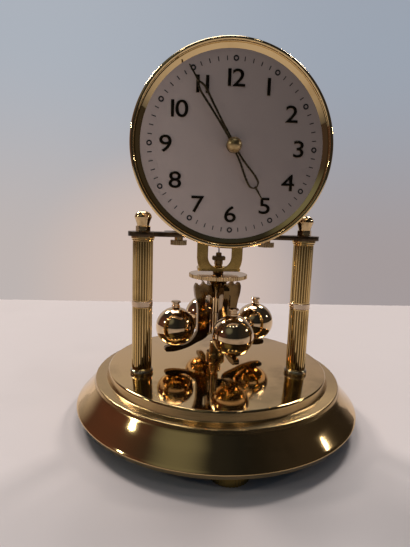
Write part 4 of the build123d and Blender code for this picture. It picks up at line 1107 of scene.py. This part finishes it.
@dataclass
class Dial(Assembly):
    """The dial with its numerals and marks, and the bezel round it."""

    face: float = 31.2
    thickness: float = 0.8
    radius: float = 42.0
    hole: float = 2.8
    bezel_radius: float = 45.0
    bezel_opening: float = 40.6
    bezel_front: float = 33.4
    bezel_back: float = 29.4
    bezel_edge: float = 0.3
    bezel_lip: float = 0.15
    bezel_lift: float = 0.05
    bezel_play: float = 0.04
    rim_width: float = 1.9
    mark_circle: float = 36.64
    mark_sunk: float = 0.02
    ring_bore: float = 0.62
    ring_radius: float = 1.22
    ring_thickness: float = 0.16
    tick_half: Point = (0.19, 0.95)
    tick_thickness: float = 0.1
    numeral_circle: float = 29.6
    numeral_height: float = 7.3
    numeral_size: float = 10.001
    numeral_wide_share: float = 1.2
    numeral_bold: float = 0.09
    numeral_edge: float = 0.1
    digit_space_share: float = 0.66
    raised: float = 0.36
    shifts: tuple[tuple[int, Point], ...] = (
        (5, (0.7, 0.2)), (8, (0.5, -0.5)), (10, (1.9, 0.0)), (11, (0.7, -0.3)), (12, (0.5, -0.9)),
    )

    def build(self) -> None:
        """Build and dress the dial."""
        plate = washer(self.hole, self.radius, self.face - self.thickness, self.face)
        disc = Shaper.lathe("dial_face", plate, Lay.UPRIGHT, DIAL_MIDDLE, steps=160)
        self.keep(disc, Look.SILVERED, "frame", "dial_silver", "dial")
        bezel = Shaper.lathe("bezel_ring", self.section(), Lay.UPRIGHT, DIAL_MIDDLE, steps=192)
        self.keep(bezel, Look.BEZEL_BRASS, "frame", "polished_brass", "bezel")
        self.keep(self.numerals(), Look.NUMERAL, "frame", "dial_silver")
        for piece in (self.rings(), self.ticks()):
            self.keep(piece, Look.INK, "frame", "dial_silver")

    def section(self) -> list[Point]:
        """Section of the bezel: a round rim, a groove, and a slope down to the dial.

        Returns:
            Its points, closed.
        """
        outer, half, edge, back = self.bezel_radius, self.rim_width / 2, self.bezel_edge, self.bezel_back
        inner, shoulder = outer - self.rim_width, self.bezel_front - half
        seat, lifted = self.radius + self.bezel_play, self.face + self.bezel_lift
        rim = arc((outer - half, shoulder), half, 0.0, 180.0, 12)
        slope = [(inner - edge, shoulder - edge), (inner - 2 * edge, shoulder)]
        slope += [(self.bezel_opening + self.bezel_lip, self.face + self.bezel_lip)]
        rest = [(self.bezel_opening, lifted), (seat, lifted), (seat, back)]
        return rim + slope + rest + [(outer - edge, back), (outer, back + edge), rim[0]]

    def numerals(self) -> Piece:
        """The twelve plain numerals, a little raised.

        Returns:
            The piece.
        """
        made = []
        for hour in range(1, 13):
            aside, up = dict(self.shifts).get(hour, (0.0, 0.0))
            across, height = polar(DIAL_MIDDLE, self.numeral_circle, FULL_TURN * (3 - hour) / 12)
            numeral = self.numeral(str(hour))
            numeral.rotation_euler = (math.pi / 2, 0.0, 0.0)
            numeral.location = Lay.UPRIGHT.place(across + aside, height + up, self.face + self.raised / 2)
            bpy.ops.object.transform_apply(location=True, rotation=True, scale=True)
            made.append(numeral)
        return Shaper.join("numerals", made)

    def numeral(self, digits: str) -> Piece:
        """A numeral of the right size, flat and centred on the origin.

        Args:
            digits: What it reads.

        Returns:
            The piece, whose scale isn't applied yet.
        """
        Shaper.clear()
        bpy.ops.object.text_add()
        text = bpy.context.active_object.data
        text.body = digits
        text.size = self.numeral_size * MM
        text.space_character = self.digit_space_share
        text.extrude = (self.raised / 2 - self.numeral_edge) * MM
        text.offset = (self.numeral_bold - self.numeral_edge) * MM
        text.bevel_depth = self.numeral_edge * MM
        text.bevel_resolution = 2
        text.resolution_u = 6
        bpy.ops.object.convert(target="MESH")
        bpy.ops.object.origin_set(type="GEOMETRY_ORIGIN", center="BOUNDS")
        numeral = bpy.context.active_object
        tall = self.numeral_height * MM / numeral.dimensions.y
        numeral.scale = (tall * self.numeral_wide_share, tall, 1.0)
        return numeral

    def rings(self) -> Piece:
        """The small rings at the hours.

        Returns:
            The piece.
        """
        level, centre = self.face - self.mark_sunk, (0.0, DIAL_HEIGHT + self.mark_circle)
        profile = washer(self.ring_bore, self.ring_radius, level, level + self.ring_thickness)
        ring = Shaper.lathe("hour_rings", profile, Lay.UPRIGHT, centre, steps=28)
        return Shaper.ring_of(ring, [5 * MINUTE] * 11, Lay.UPRIGHT, DIAL_MIDDLE)

    def ticks(self) -> Piece:
        """The thin marks at the minutes between.

        Returns:
            The piece.
        """
        corners = rectangle((0.0, DIAL_HEIGHT + self.mark_circle), self.tick_half)
        level = self.face - self.mark_sunk
        tick = Shaper.slab("minute_ticks", corners, Lay.UPRIGHT, level, self.tick_thickness)
        # Every fourth step passes over an hour, which has a ring.
        turns = [2 * MINUTE if index % 4 == 3 else MINUTE for index in range(47)]
        return Shaper.ring_of(tick, turns, Lay.UPRIGHT, DIAL_MIDDLE, first=MINUTE)


@dataclass(frozen=True)
class Hand:
    """An open hand: two rails that part and meet again, then a needle."""

    length: float
    angle: float
    level: float
    hub: float
    bore: float
    rails: tuple[Point, ...]
    thickness: float = 0.5
    rail: float = 0.92
    needle: float = 0.5
    tip: float = 0.27
    edge: float = 0.07

    def build(self, name: str) -> Piece:
        """Build the hand.

        Args:
            name: Name of the piece.

        Returns:
            The piece.
        """
        rail = flow(self.rails, 8)
        inside = [(reach, max(0.0, across - self.rail)) for reach, across in reversed(rail)]
        start = rail[-1][0] - self.rail
        flats = [[(reach, side * across) for reach, across in [*rail, *inside]] for side in (1.0, -1.0)]
        flats.append([
            (start, -self.needle), (start, self.needle), (self.length, self.tip), (self.length, -self.tip),
        ])
        parts = []
        for flat in flats:
            outline = [self.turned(*point) for point in flat]
            parts.append(Shaper.slab("flat", outline, Lay.UPRIGHT, self.level, self.thickness))
        hub = washer(self.bore, self.hub, self.level, self.level + self.thickness)
        parts.append(Shaper.lathe("hub", hub, Lay.UPRIGHT, DIAL_MIDDLE, steps=56))
        return Shaper.soften(Shaper.join(name, parts), self.edge)

    def turned(self, reach: float, across: float) -> Point:
        """A point of the hand on the dial, by its distances along and across the hand."""
        sine, cosine = math.sin(math.radians(self.angle)), math.cos(math.radians(self.angle))
        return (reach * sine + across * cosine, DIAL_HEIGHT + reach * cosine - across * sine)


@dataclass
class Hands(Assembly):
    """The hour hand, the minute hand and the domed nut."""

    hour: Hand = Hand(26.2, 148.7, 33.2, 3.2, 2.14, (
        (2.4, 0.95), (8.0, 1.35), (14.0, 2.35), (17.8, 2.7), (19.6, 2.2), (20.9, 0.6),
    ))
    minute: Hand = Hand(37.6, -32.4, 35.0, 3.1, 0.84, (
        (2.4, 0.85), (10.0, 0.95), (18.0, 1.3), (25.6, 1.75), (28.2, 1.35), (29.9, 0.5),
    ))
    nut: float = 3.3
    nut_low: float = 35.5
    nut_edge: float = 0.9
    nut_height: float = 3.7

    def build(self) -> None:
        """Build and dress the hands and their nut."""
        self.keep(self.hour.build("hour_pointer"), Look.HAND_BRASS, "hour", "hand_brass", "hour_hand")
        self.keep(self.minute.build("minute_pointer"), Look.HAND_BRASS, "centre", "hand_brass", "minute_hand")
        nut = Shaper.lathe("dome_nut", self.dome(), Lay.UPRIGHT, DIAL_MIDDLE, steps=64)
        self.keep(nut, Look.PLATE_BRASS, "centre", "polished_brass", "hand_nut")

    def dome(self) -> list[Point]:
        """Profile of the nut, a cap of a ball on a plain edge.

        Returns:
            Its points, from the middle of its back to its top.
        """
        rise, low = self.nut_height - self.nut_edge, self.nut_low
        ball = (self.nut ** 2 + rise ** 2) / (2 * rise)
        start = math.degrees(math.asin((ball - rise) / ball))
        cap = arc((0.0, low + self.nut_height - ball), ball, start, 90.0, 12)
        return [(0.0, low), (self.nut, low), (self.nut, low + self.nut_edge), *cap[1:]]


@dataclass
class Suspension(Assembly):
    """The lower bracket, the bottom block and the ribbon that carry the pendulum."""

    half_width: float = 12.4
    leg: float = 6.0
    back: float = 4.0
    thickness: float = 1.5
    top: float = 107.0
    edge: float = 0.3
    toe: tuple[Point, ...] = ((12.4, 7.2), (11.8, 3.6), (10.2, 0.0))
    shelf_low: float = 76.3
    shelf: float = 1.6
    shelf_half: float = 11.8
    shelf_front: float = 5.5
    shelf_back: float = -6.4
    shelf_round: float = 2.2
    hole: float = 3.3
    overrun: float = 1.0
    neck: tuple[Point, ...] = (
        (0.0, 72.35), (2.1, 72.35), (2.1, 74.55), (2.9, 74.6), (3.0, 74.75), (3.0, 75.45), (2.8, 75.65),
        (2.1, 75.75), (2.1, 79.3), (2.4, 79.7), (2.4, 82.0), (0.0, 82.0),
    )
    wing: tuple[Point, ...] = ((3.2, 81.9), (3.65, 82.3), (3.65, 83.8), (3.2, 84.3))
    wing_thickness: float = 3.0
    wing_edge: float = 0.2
    stub: tuple[Point, ...] = ((0.0, 84.2), (1.6, 84.2), (1.6, 85.8), (1.3, 86.2), (0.0, 86.2))
    ribbon: float = 0.8
    ribbon_thickness: float = 0.15
    ribbon_low: float = 86.2
    ribbon_high: float = 172.9
    ribbon_lengths: int = 60

    def build(self) -> None:
        """Build and dress the suspension."""
        self.keep(self.bracket(), Look.AGED_BRASS, "frame", "aged_brass", "lower_bracket")
        self.keep(self.block(), Look.BRONZED_BRASS, "pendulum", "movement_brass", "bottom_block")
        strip = self.strip()
        Lay.FLAT.place(*AXIS, self.ribbon_high)
        Lay.FLAT.place(*AXIS, self.ribbon_low)
        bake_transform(strip)
        self.dress(strip, Look.STEEL, "steel", "suspension_ribbon")

    def bracket(self) -> Piece:
        """The U-shaped bracket and its shelf.

        Returns:
            The piece.
        """
        inner = self.half_width - self.leg
        side = flow([(-across, self.shelf_low + rise) for across, rise in self.toe], 5)
        outline = [(-inner, self.top), (-self.half_width, self.top), *side]
        outline += [(-across, height) for across, height in reversed(side)]
        outline += [(self.half_width, self.top), (inner, self.top)]
        outline += arc((0.0, self.shelf_low + self.shelf + inner), inner, 0.0, -180.0, 28)
        plate = Shaper.slab("u_plate", outline, Lay.UPRIGHT, self.back - AXIS_BACK, self.thickness)
        parts = (plate, self.bored_shelf())
        return Shaper.join("u_bracket", [Shaper.soften(part, self.edge, segments=3) for part in parts])

    def bored_shelf(self) -> Piece:
        """The shelf with round corners and a hole for the pendulum's neck.

        Returns:
            The piece.
        """
        middle = AXIS_BACK - (self.shelf_front + self.shelf_back) / 2
        reach = self.shelf_half - self.shelf_round
        deep = (self.shelf_front - self.shelf_back) / 2 - self.shelf_round
        corners: list[Point] = []
        for x, y, start in ((1, 1, 0.0), (-1, 1, 90.0), (-1, -1, 180.0), (1, -1, 270.0)):
            corners += arc((x * reach, middle + y * deep), self.shelf_round, start, start + 90.0, 6)
        shelf = Shaper.slab("shelf", corners, Lay.FLAT, self.shelf_low, self.shelf)
        low, high = self.shelf_low - self.overrun, self.shelf_low + self.shelf + self.overrun
        cutter = Shaper.lathe("cutter", washer(0.0, self.hole, low, high), centre=AXIS, steps=48)
        Shaper.modify(shelf, "BOOLEAN", object=cutter, operation="DIFFERENCE")
        bpy.data.objects.remove(cutter)
        return shelf

    def block(self) -> Piece:
        """The bottom block: stub, wings, neck and collar.

        Returns:
            The piece.
        """
        neck = Shaper.lathe("neck", self.neck, centre=AXIS, steps=48)
        outline = [*self.wing, *((-across, height) for across, height in reversed(self.wing))]
        near = -AXIS_BACK - self.wing_thickness / 2
        wings = Shaper.slab("wings", outline, Lay.UPRIGHT, near, self.wing_thickness)
        Shaper.soften(wings, self.wing_edge, angle=30.0)
        stub = Shaper.lathe("stub", self.stub, centre=AXIS, steps=40)
        return Shaper.join("lower_block", [neck, wings, stub])

    def strip(self) -> Piece:
        """The thin ribbon, in short lengths so that it can twist.

        Returns:
            The piece.
        """
        rise = self.ribbon_high - self.ribbon_low
        corners = rectangle(AXIS, (self.ribbon / 2, self.ribbon_thickness / 2))
        strip = Shaper.slab("ribbon", corners, Lay.FLAT, self.ribbon_low, rise)
        Shaper.edit(strip)
        for index in range(1, self.ribbon_lengths):
            level = self.ribbon_low + rise * index / self.ribbon_lengths
            bpy.ops.mesh.select_all(action="SELECT")
            bpy.ops.mesh.bisect(plane_co=(0.0, 0.0, level * MM), plane_no=(0.0, 0.0, 1.0))
        return Shaper.smooth(strip)


@dataclass
class Pendulum(Assembly):
    """The knurled disc, the hub, and the arms with their balls."""

    disc_edge: Knurling = Knurling(16.2, 72, 0.4)
    disc_low: float = 72.45
    disc_thickness: float = 2.0
    hub_top: Point = (6.7, 72.35)
    hub_cone: tuple[Point, ...] = ((7.0, 71.8), (5.2, 69.9), (4.0, 68.35), (3.4, 66.2), (3.0, 64.1))
    hub_foot: Point = (2.8, 64.0)
    stem: tuple[Point, ...] = (
        (0.0, 64.05), (2.2, 64.05), (2.2, 52.6), (2.4, 52.4), (2.4, 51.4), (2.2, 51.2), (2.2, 37.6),
        (1.8, 37.2), (1.0, 37.2), (1.0, 30.7), (0.7, 30.4), (0.0, 30.4),
    )
    arm_thickness: float = 3.2
    arm_edge: float = 0.6
    turn: float = 15.0
    orbit: float = 24.0
    ball: float = 10.7
    ball_height: float = 45.6
    ball_cut: float = 0.06
    ball_open: float = 83.0
    rod: float = 1.1
    rod_play: float = 0.04
    rod_sunk: float = 0.1
    knob_steps: tuple[Point, ...] = (
        (2.1, -0.1), (2.3, 0.15), (2.3, 0.85), (2.1, 1.05), (1.9, 1.2), (1.85, 2.2), (2.2, 2.45),
        (2.65, 2.65), (2.65, 3.2), (2.35, 3.5), (0.9, 3.6), (0.0, 3.6),
    )

    def build(self) -> None:
        """Build and dress the pendulum."""
        wheel = self.disc_edge.disc("knurled_disc", AXIS, self.disc_low, self.disc_thickness)
        self.keep(wheel, Look.FITTING_BRASS, "regulator", "polished_brass", "regulating_disc")
        top, foot = self.hub_top, self.hub_foot
        cone = [(0.0, top[1]), top, *flow(self.hub_cone, 5), foot, (0.0, foot[1])]
        hub = Shaper.lathe("hub", cone, centre=AXIS, steps=72)
        self.keep(hub, Look.BRONZED_BRASS, "pendulum", "bronzed_brass", "pendulum_hub")
        stem = Shaper.lathe("stem", self.stem, centre=AXIS, steps=48)
        self.keep(stem, Look.FITTING_BRASS, "pendulum", "bronzed_brass", "pendulum_hub")
        near = -AXIS_BACK - self.arm_thickness / 2
        arm = Shaper.slab("scroll_arms", self.arm(), Lay.UPRIGHT, near, self.arm_thickness)
        Shaper.soften(arm, self.arm_edge, segments=3)
        for piece, look, slot, node in (
            (arm, Look.BRONZED_BRASS, "bronzed_brass", "pendulum_arms"),
            (self.sphere(), Look.BALL_BRASS, "polished_brass", "pendulum_balls"),
            (self.knob(), Look.BALL_BRASS, "polished_brass", "ball_knobs"),
        ):
            Shaper.ring_of(piece, [90.0] * 3, Lay.FLAT, AXIS, first=-self.turn)
            self.keep(piece, look, "pendulum", slot, node)

    def arm(self) -> list[Point]:
        """Outline of an arm: it curls out of the hub, runs down and sweeps under its ball.

        Returns:
            Its corners, by distance from the axis and by height.
        """
        under = flow([
            (28.5, 31.7), (24.0, 31.7), (17.1, 33.3), (11.6, 35.8), (8.2, 37.2), (5.6, 39.2), (4.5, 42.7),
        ], 5)
        heel = [(4.5, 47.0), (4.5, 53.0)]
        eye = arc((4.5, 55.9), 2.9, -90.0, 0.0, 8)
        arch = arc((5.62, 60.8), 1.78, 0.0, 180.0, 10)
        root = [(2.26, 60.8), (2.26, 63.8), (3.3, 63.8)]
        small = flow([(4.3, 68.35), (5.4, 68.2), (6.7, 68.4), (7.9, 69.2), (8.8, 70.65)], 3)
        notch = flow([(9.4, 70.65), (9.05, 69.7), (9.4, 68.6), (10.6, 68.0), (11.7, 68.4), (12.2, 69.2)], 3)
        ear = [(12.5, 69.35), (12.9, 69.2)]
        side = flow([
            (12.9, 69.2), (13.6, 67.6), (13.7, 65.9), (13.3, 62.6), (12.45, 59.4), (11.8, 56.0), (11.6, 52.7),
        ], 4)
        bow = flow([(11.6, 45.6), (11.86, 42.0), (13.4, 38.75), (16.0, 36.3), (19.3, 34.95), (22.9, 34.8)], 4)
        tip = arc((28.5, 33.25), 1.55, 90.0, -90.0, 8)
        return under[1:] + heel + eye[1:] + arch + root + small + notch + ear + side[1:] + bow + tip

    def sphere(self) -> Piece:
        """A ball with a hole for its rod.

        Returns:
            The piece.
        """
        low, high = (self.ball_height + side * (self.ball - self.ball_cut) for side in (-1, 1))
        skin = arc((0.0, self.ball_height), self.ball, -self.ball_open, self.ball_open, 44)
        profile = [(self.rod, low), *skin, (self.rod, high), (self.rod, low)]
        return Shaper.lathe("balls", profile, centre=(self.orbit, AXIS_BACK), steps=64)

    def knob(self) -> Piece:
        """A ball's rod with the two-flanged knob on top.

        Returns:
            The piece.
        """
        top, rod = self.ball_height + self.ball, self.rod - self.rod_play
        seat = self.ball_height - self.ball - self.rod_sunk
        profile = [(0.0, seat), (rod, seat), (rod, top - self.rod_sunk)]
        profile += [(radius, top + rise) for radius, rise in self.knob_steps]
        return Shaper.lathe("knobs", profile, centre=(self.orbit, AXIS_BACK), steps=48)


@dataclass
class Movement(Assembly):
    """The movement's plates, wheels and fittings, whose shapes are those of the CAD."""

    plate_edge: float = 0.18
    screw_edge: float = 0.12
    plates: tuple[str, ...] = ("front_plate", "back_plate", "suspension_saddle", "top_block")
    screws: tuple[str, ...] = ("plate_screws", "back_screws")

    def build(self) -> None:
        """Dress each CAD node that no other piece stands for."""
        looks = {
            "movement_brass": Look.PLATE_BRASS, "steel": Look.STEEL, "base_plate_paint": Look.BLACK_PAINT,
        }
        edges = dict.fromkeys(self.plates, self.plate_edge) | dict.fromkeys(self.screws, self.screw_edge)
        slots = {row["node"]: row["material_slot"] for row in frame["record"]["subparts"]}
        for body, nodes in frame["record"]["behaviour"]["bodies"].items():
            for node in nodes:
                if frame["nodes"][node].hide_render:
                    continue
                piece = Shaper.casting(node, edges.get(node, 0.0))
                self.keep(piece, looks[slots[node]], body, slots[node], node)


@dataclass(frozen=True)
class Lamp:
    """A square lamp that points at the clock."""

    name: str
    place: Triple
    size: float
    power: float
    colour: Colour = (1.0, 0.95, 0.90)
    aim: Triple = (0.0, 0.0, 0.06)

    def build(self) -> None:
        """Hang the lamp."""
        light = bpy.data.lights.new(self.name, "AREA")
        light.size = self.size
        light.energy = self.power
        light.color = self.colour
        lamp = bpy.data.objects.new(self.name, light)
        lamp.location = self.place
        lamp.rotation_mode = "QUATERNION"
        lamp.rotation_quaternion = (Vector(self.aim) - Vector(self.place)).to_track_quat("-Z", "Y")
        bpy.context.scene.collection.objects.link(lamp)


@dataclass
class Stage:
    """The table, the room, the lamps and the camera."""

    lamps: tuple[Lamp, ...] = (
        Lamp("overhead", (-0.10, 0.48, 1.20), 0.60, 6.8, (1.0, 0.96, 0.95)),
        Lamp("back_left", (-0.80, 0.85, 1.15), 0.26, 9.5, (1.0, 0.96, 0.95)),
        Lamp("back_right", (0.74, 0.85, 1.15), 0.26, 8.0, (1.0, 0.96, 0.95)),
        Lamp("left_lamp", (-0.84, -0.20, 0.41), 0.06, 0.6, (0.95, 1.0, 0.90)),
        Lamp("right_lamp", (0.82, -0.05, 0.40), 0.05, 0.35),
        Lamp("ceiling_left", (-0.30, -0.34, 0.95), 0.06, 0.12),
        Lamp("ceiling_middle", (-0.04, -0.40, 0.95), 0.06, 0.12),
        Lamp("ceiling_right", (0.24, -0.34, 0.95), 0.06, 0.12),
    )
    table_back: float = 0.268
    table_size: float = 2.4
    table: Finish = Finish(
        (0.66, 0.57, 0.53), (0.627, 0.5415, 0.5035), 0.5, 0.1, metallic=0.0, patch_scale=7.0,
        mark_scale=300.0,
    )
    wall_low: tuple[Colour, Colour] = ((0.51, 0.456, 0.44), (0.37, 0.325, 0.325))
    wall_high: tuple[Colour, Colour] = ((0.41, 0.445, 0.50), (0.33, 0.37, 0.435))
    wall_across: Point = (-0.34, 0.46)
    wall_up: Point = (-0.12, 0.36)
    mirrored_up: Point = (0.30, 0.80)
    mirrored_from: Point = (0.45, 0.75)
    # Painted light on the wall: a warm glow behind the pendulum, standing for light thrown by the brass.
    gleam: Colour = (0.63, 0.505, 0.45)
    gleam_way: Triple = (0.005, 0.983, -0.186)
    gleam_cone: Point = (0.93, 1.0)
    room_across: tuple[tuple[float, Colour], ...] = (
        (0.04, (0.100, 0.045, 0.036)), (0.13, (0.055, 0.036, 0.032)), (0.22, (0.030, 0.031, 0.031)),
        (0.62, (0.015, 0.016, 0.018)), (0.94, (0.034, 0.028, 0.024)),
    )
    room_high: Colour = (0.045, 0.055, 0.065)
    room_up: Point = (0.80, 0.98)
    window: Colour = (0.16, 0.17, 0.14)
    window_way: Triple = (-0.46, -0.62, 0.63)
    window_cone: Point = (0.91, 1.0)
    daylight: Colour = (0.042, 0.072, 0.105)
    eye: Triple = (-0.02495, -0.21435, 0.10682)
    yaw: float = 0.0791
    pitch: float = 0.1453
    roll: float = 0.0328
    lens: float = 26.6
    near: float = 0.005

    def build(self) -> None:
        """Set the table, the lamps, the room and the camera."""
        self.table_top()
        for lamp in self.lamps:
            lamp.build()
        self.room()
        self.camera()

    def table_top(self) -> None:
        """The table, whose far edge meets the wall."""
        Shaper.clear()
        middle = (0.0, self.table_back - self.table_size / 2, 0.0)
        bpy.ops.mesh.primitive_plane_add(size=self.table_size, location=middle)
        plane = Shaper.named(bpy.context.active_object, "table_top")
        plane.data.materials.append(self.table.material("table_top"))

    def room(self) -> None:
        """A pale wall behind the clock, and a dark room with a dim window round the viewer."""
        graph = Graph(bpy.data.worlds.new("room"), "ShaderNodeOutputWorld")
        bpy.context.scene.world = graph.owner
        way = graph.split(graph.out(graph.node("ShaderNodeTexCoord"), "Generated"))
        x, y, z = way
        side = graph.ramp(x, *self.wall_across)
        low, high = (graph.blend(side, *pair) for pair in (self.wall_low, self.wall_high))
        wall = graph.blend(graph.ramp(z, *self.wall_up), low, high)
        # Painted light: a warm glow on the wall behind the pendulum, seen by the camera only.
        wall = graph.blend(graph.ramp(along(way, self.gleam_way), *self.gleam_cone), wall, self.gleam)
        mirrored = graph.blend(graph.ramp(z, *self.mirrored_up), low, high)
        stops = graph.node("ShaderNodeValToRGB", {"stops": self.room_across}, {0: x * 0.5 + 0.5})
        room = graph.blend(graph.ramp(z, *self.room_up), graph.out(stops, "Color"), self.room_high)
        room = graph.blend(graph.ramp(along(way, self.window_way), *self.window_cone), room, self.window)
        around = graph.blend(graph.ramp(y, *self.mirrored_from), room, mirrored)
        path = graph.node("ShaderNodeLightPath")
        fill = graph.blend(graph.out(path, "Is Glossy Ray"), self.daylight, around)
        shown = graph.blend(graph.out(path, "Is Camera Ray"), fill, wall)
        graph.show(graph.node("ShaderNodeBackground", None, {"Color": shown, "Strength": 1.0}), "Background")

    def camera(self) -> None:
        """The camera that took the photo."""
        data = bpy.data.cameras.new("eye")
        data.lens = self.lens
        data.clip_start = self.near
        eye = bpy.data.objects.new("eye", data)
        heading = Matrix.Rotation(-self.yaw, 4, "Z") @ Matrix.Rotation(math.pi / 2 - self.pitch, 4, "X")
        eye.matrix_world = Matrix.Translation(self.eye) @ heading @ Matrix.Rotation(self.roll, 4, "Z")
        bpy.context.scene.collection.objects.link(eye)
        bpy.context.scene.camera = eye


def main() -> None:
    """Build the clock's pieces in order, then the stage, and write down the box that they fill."""
    logging.basicConfig(level=logging.INFO, format="%(name)s: %(message)s")
    bpy.context.scene.view_settings.view_transform = "Standard"
    for group in (SpunBase, Pillars, Dial, Hands, Suspension, Pendulum, Movement, Stage):
        LOG.info("%s", group.__doc__)
        group().build()
    Shaper.clear()


if __name__ == "__main__":
    main()
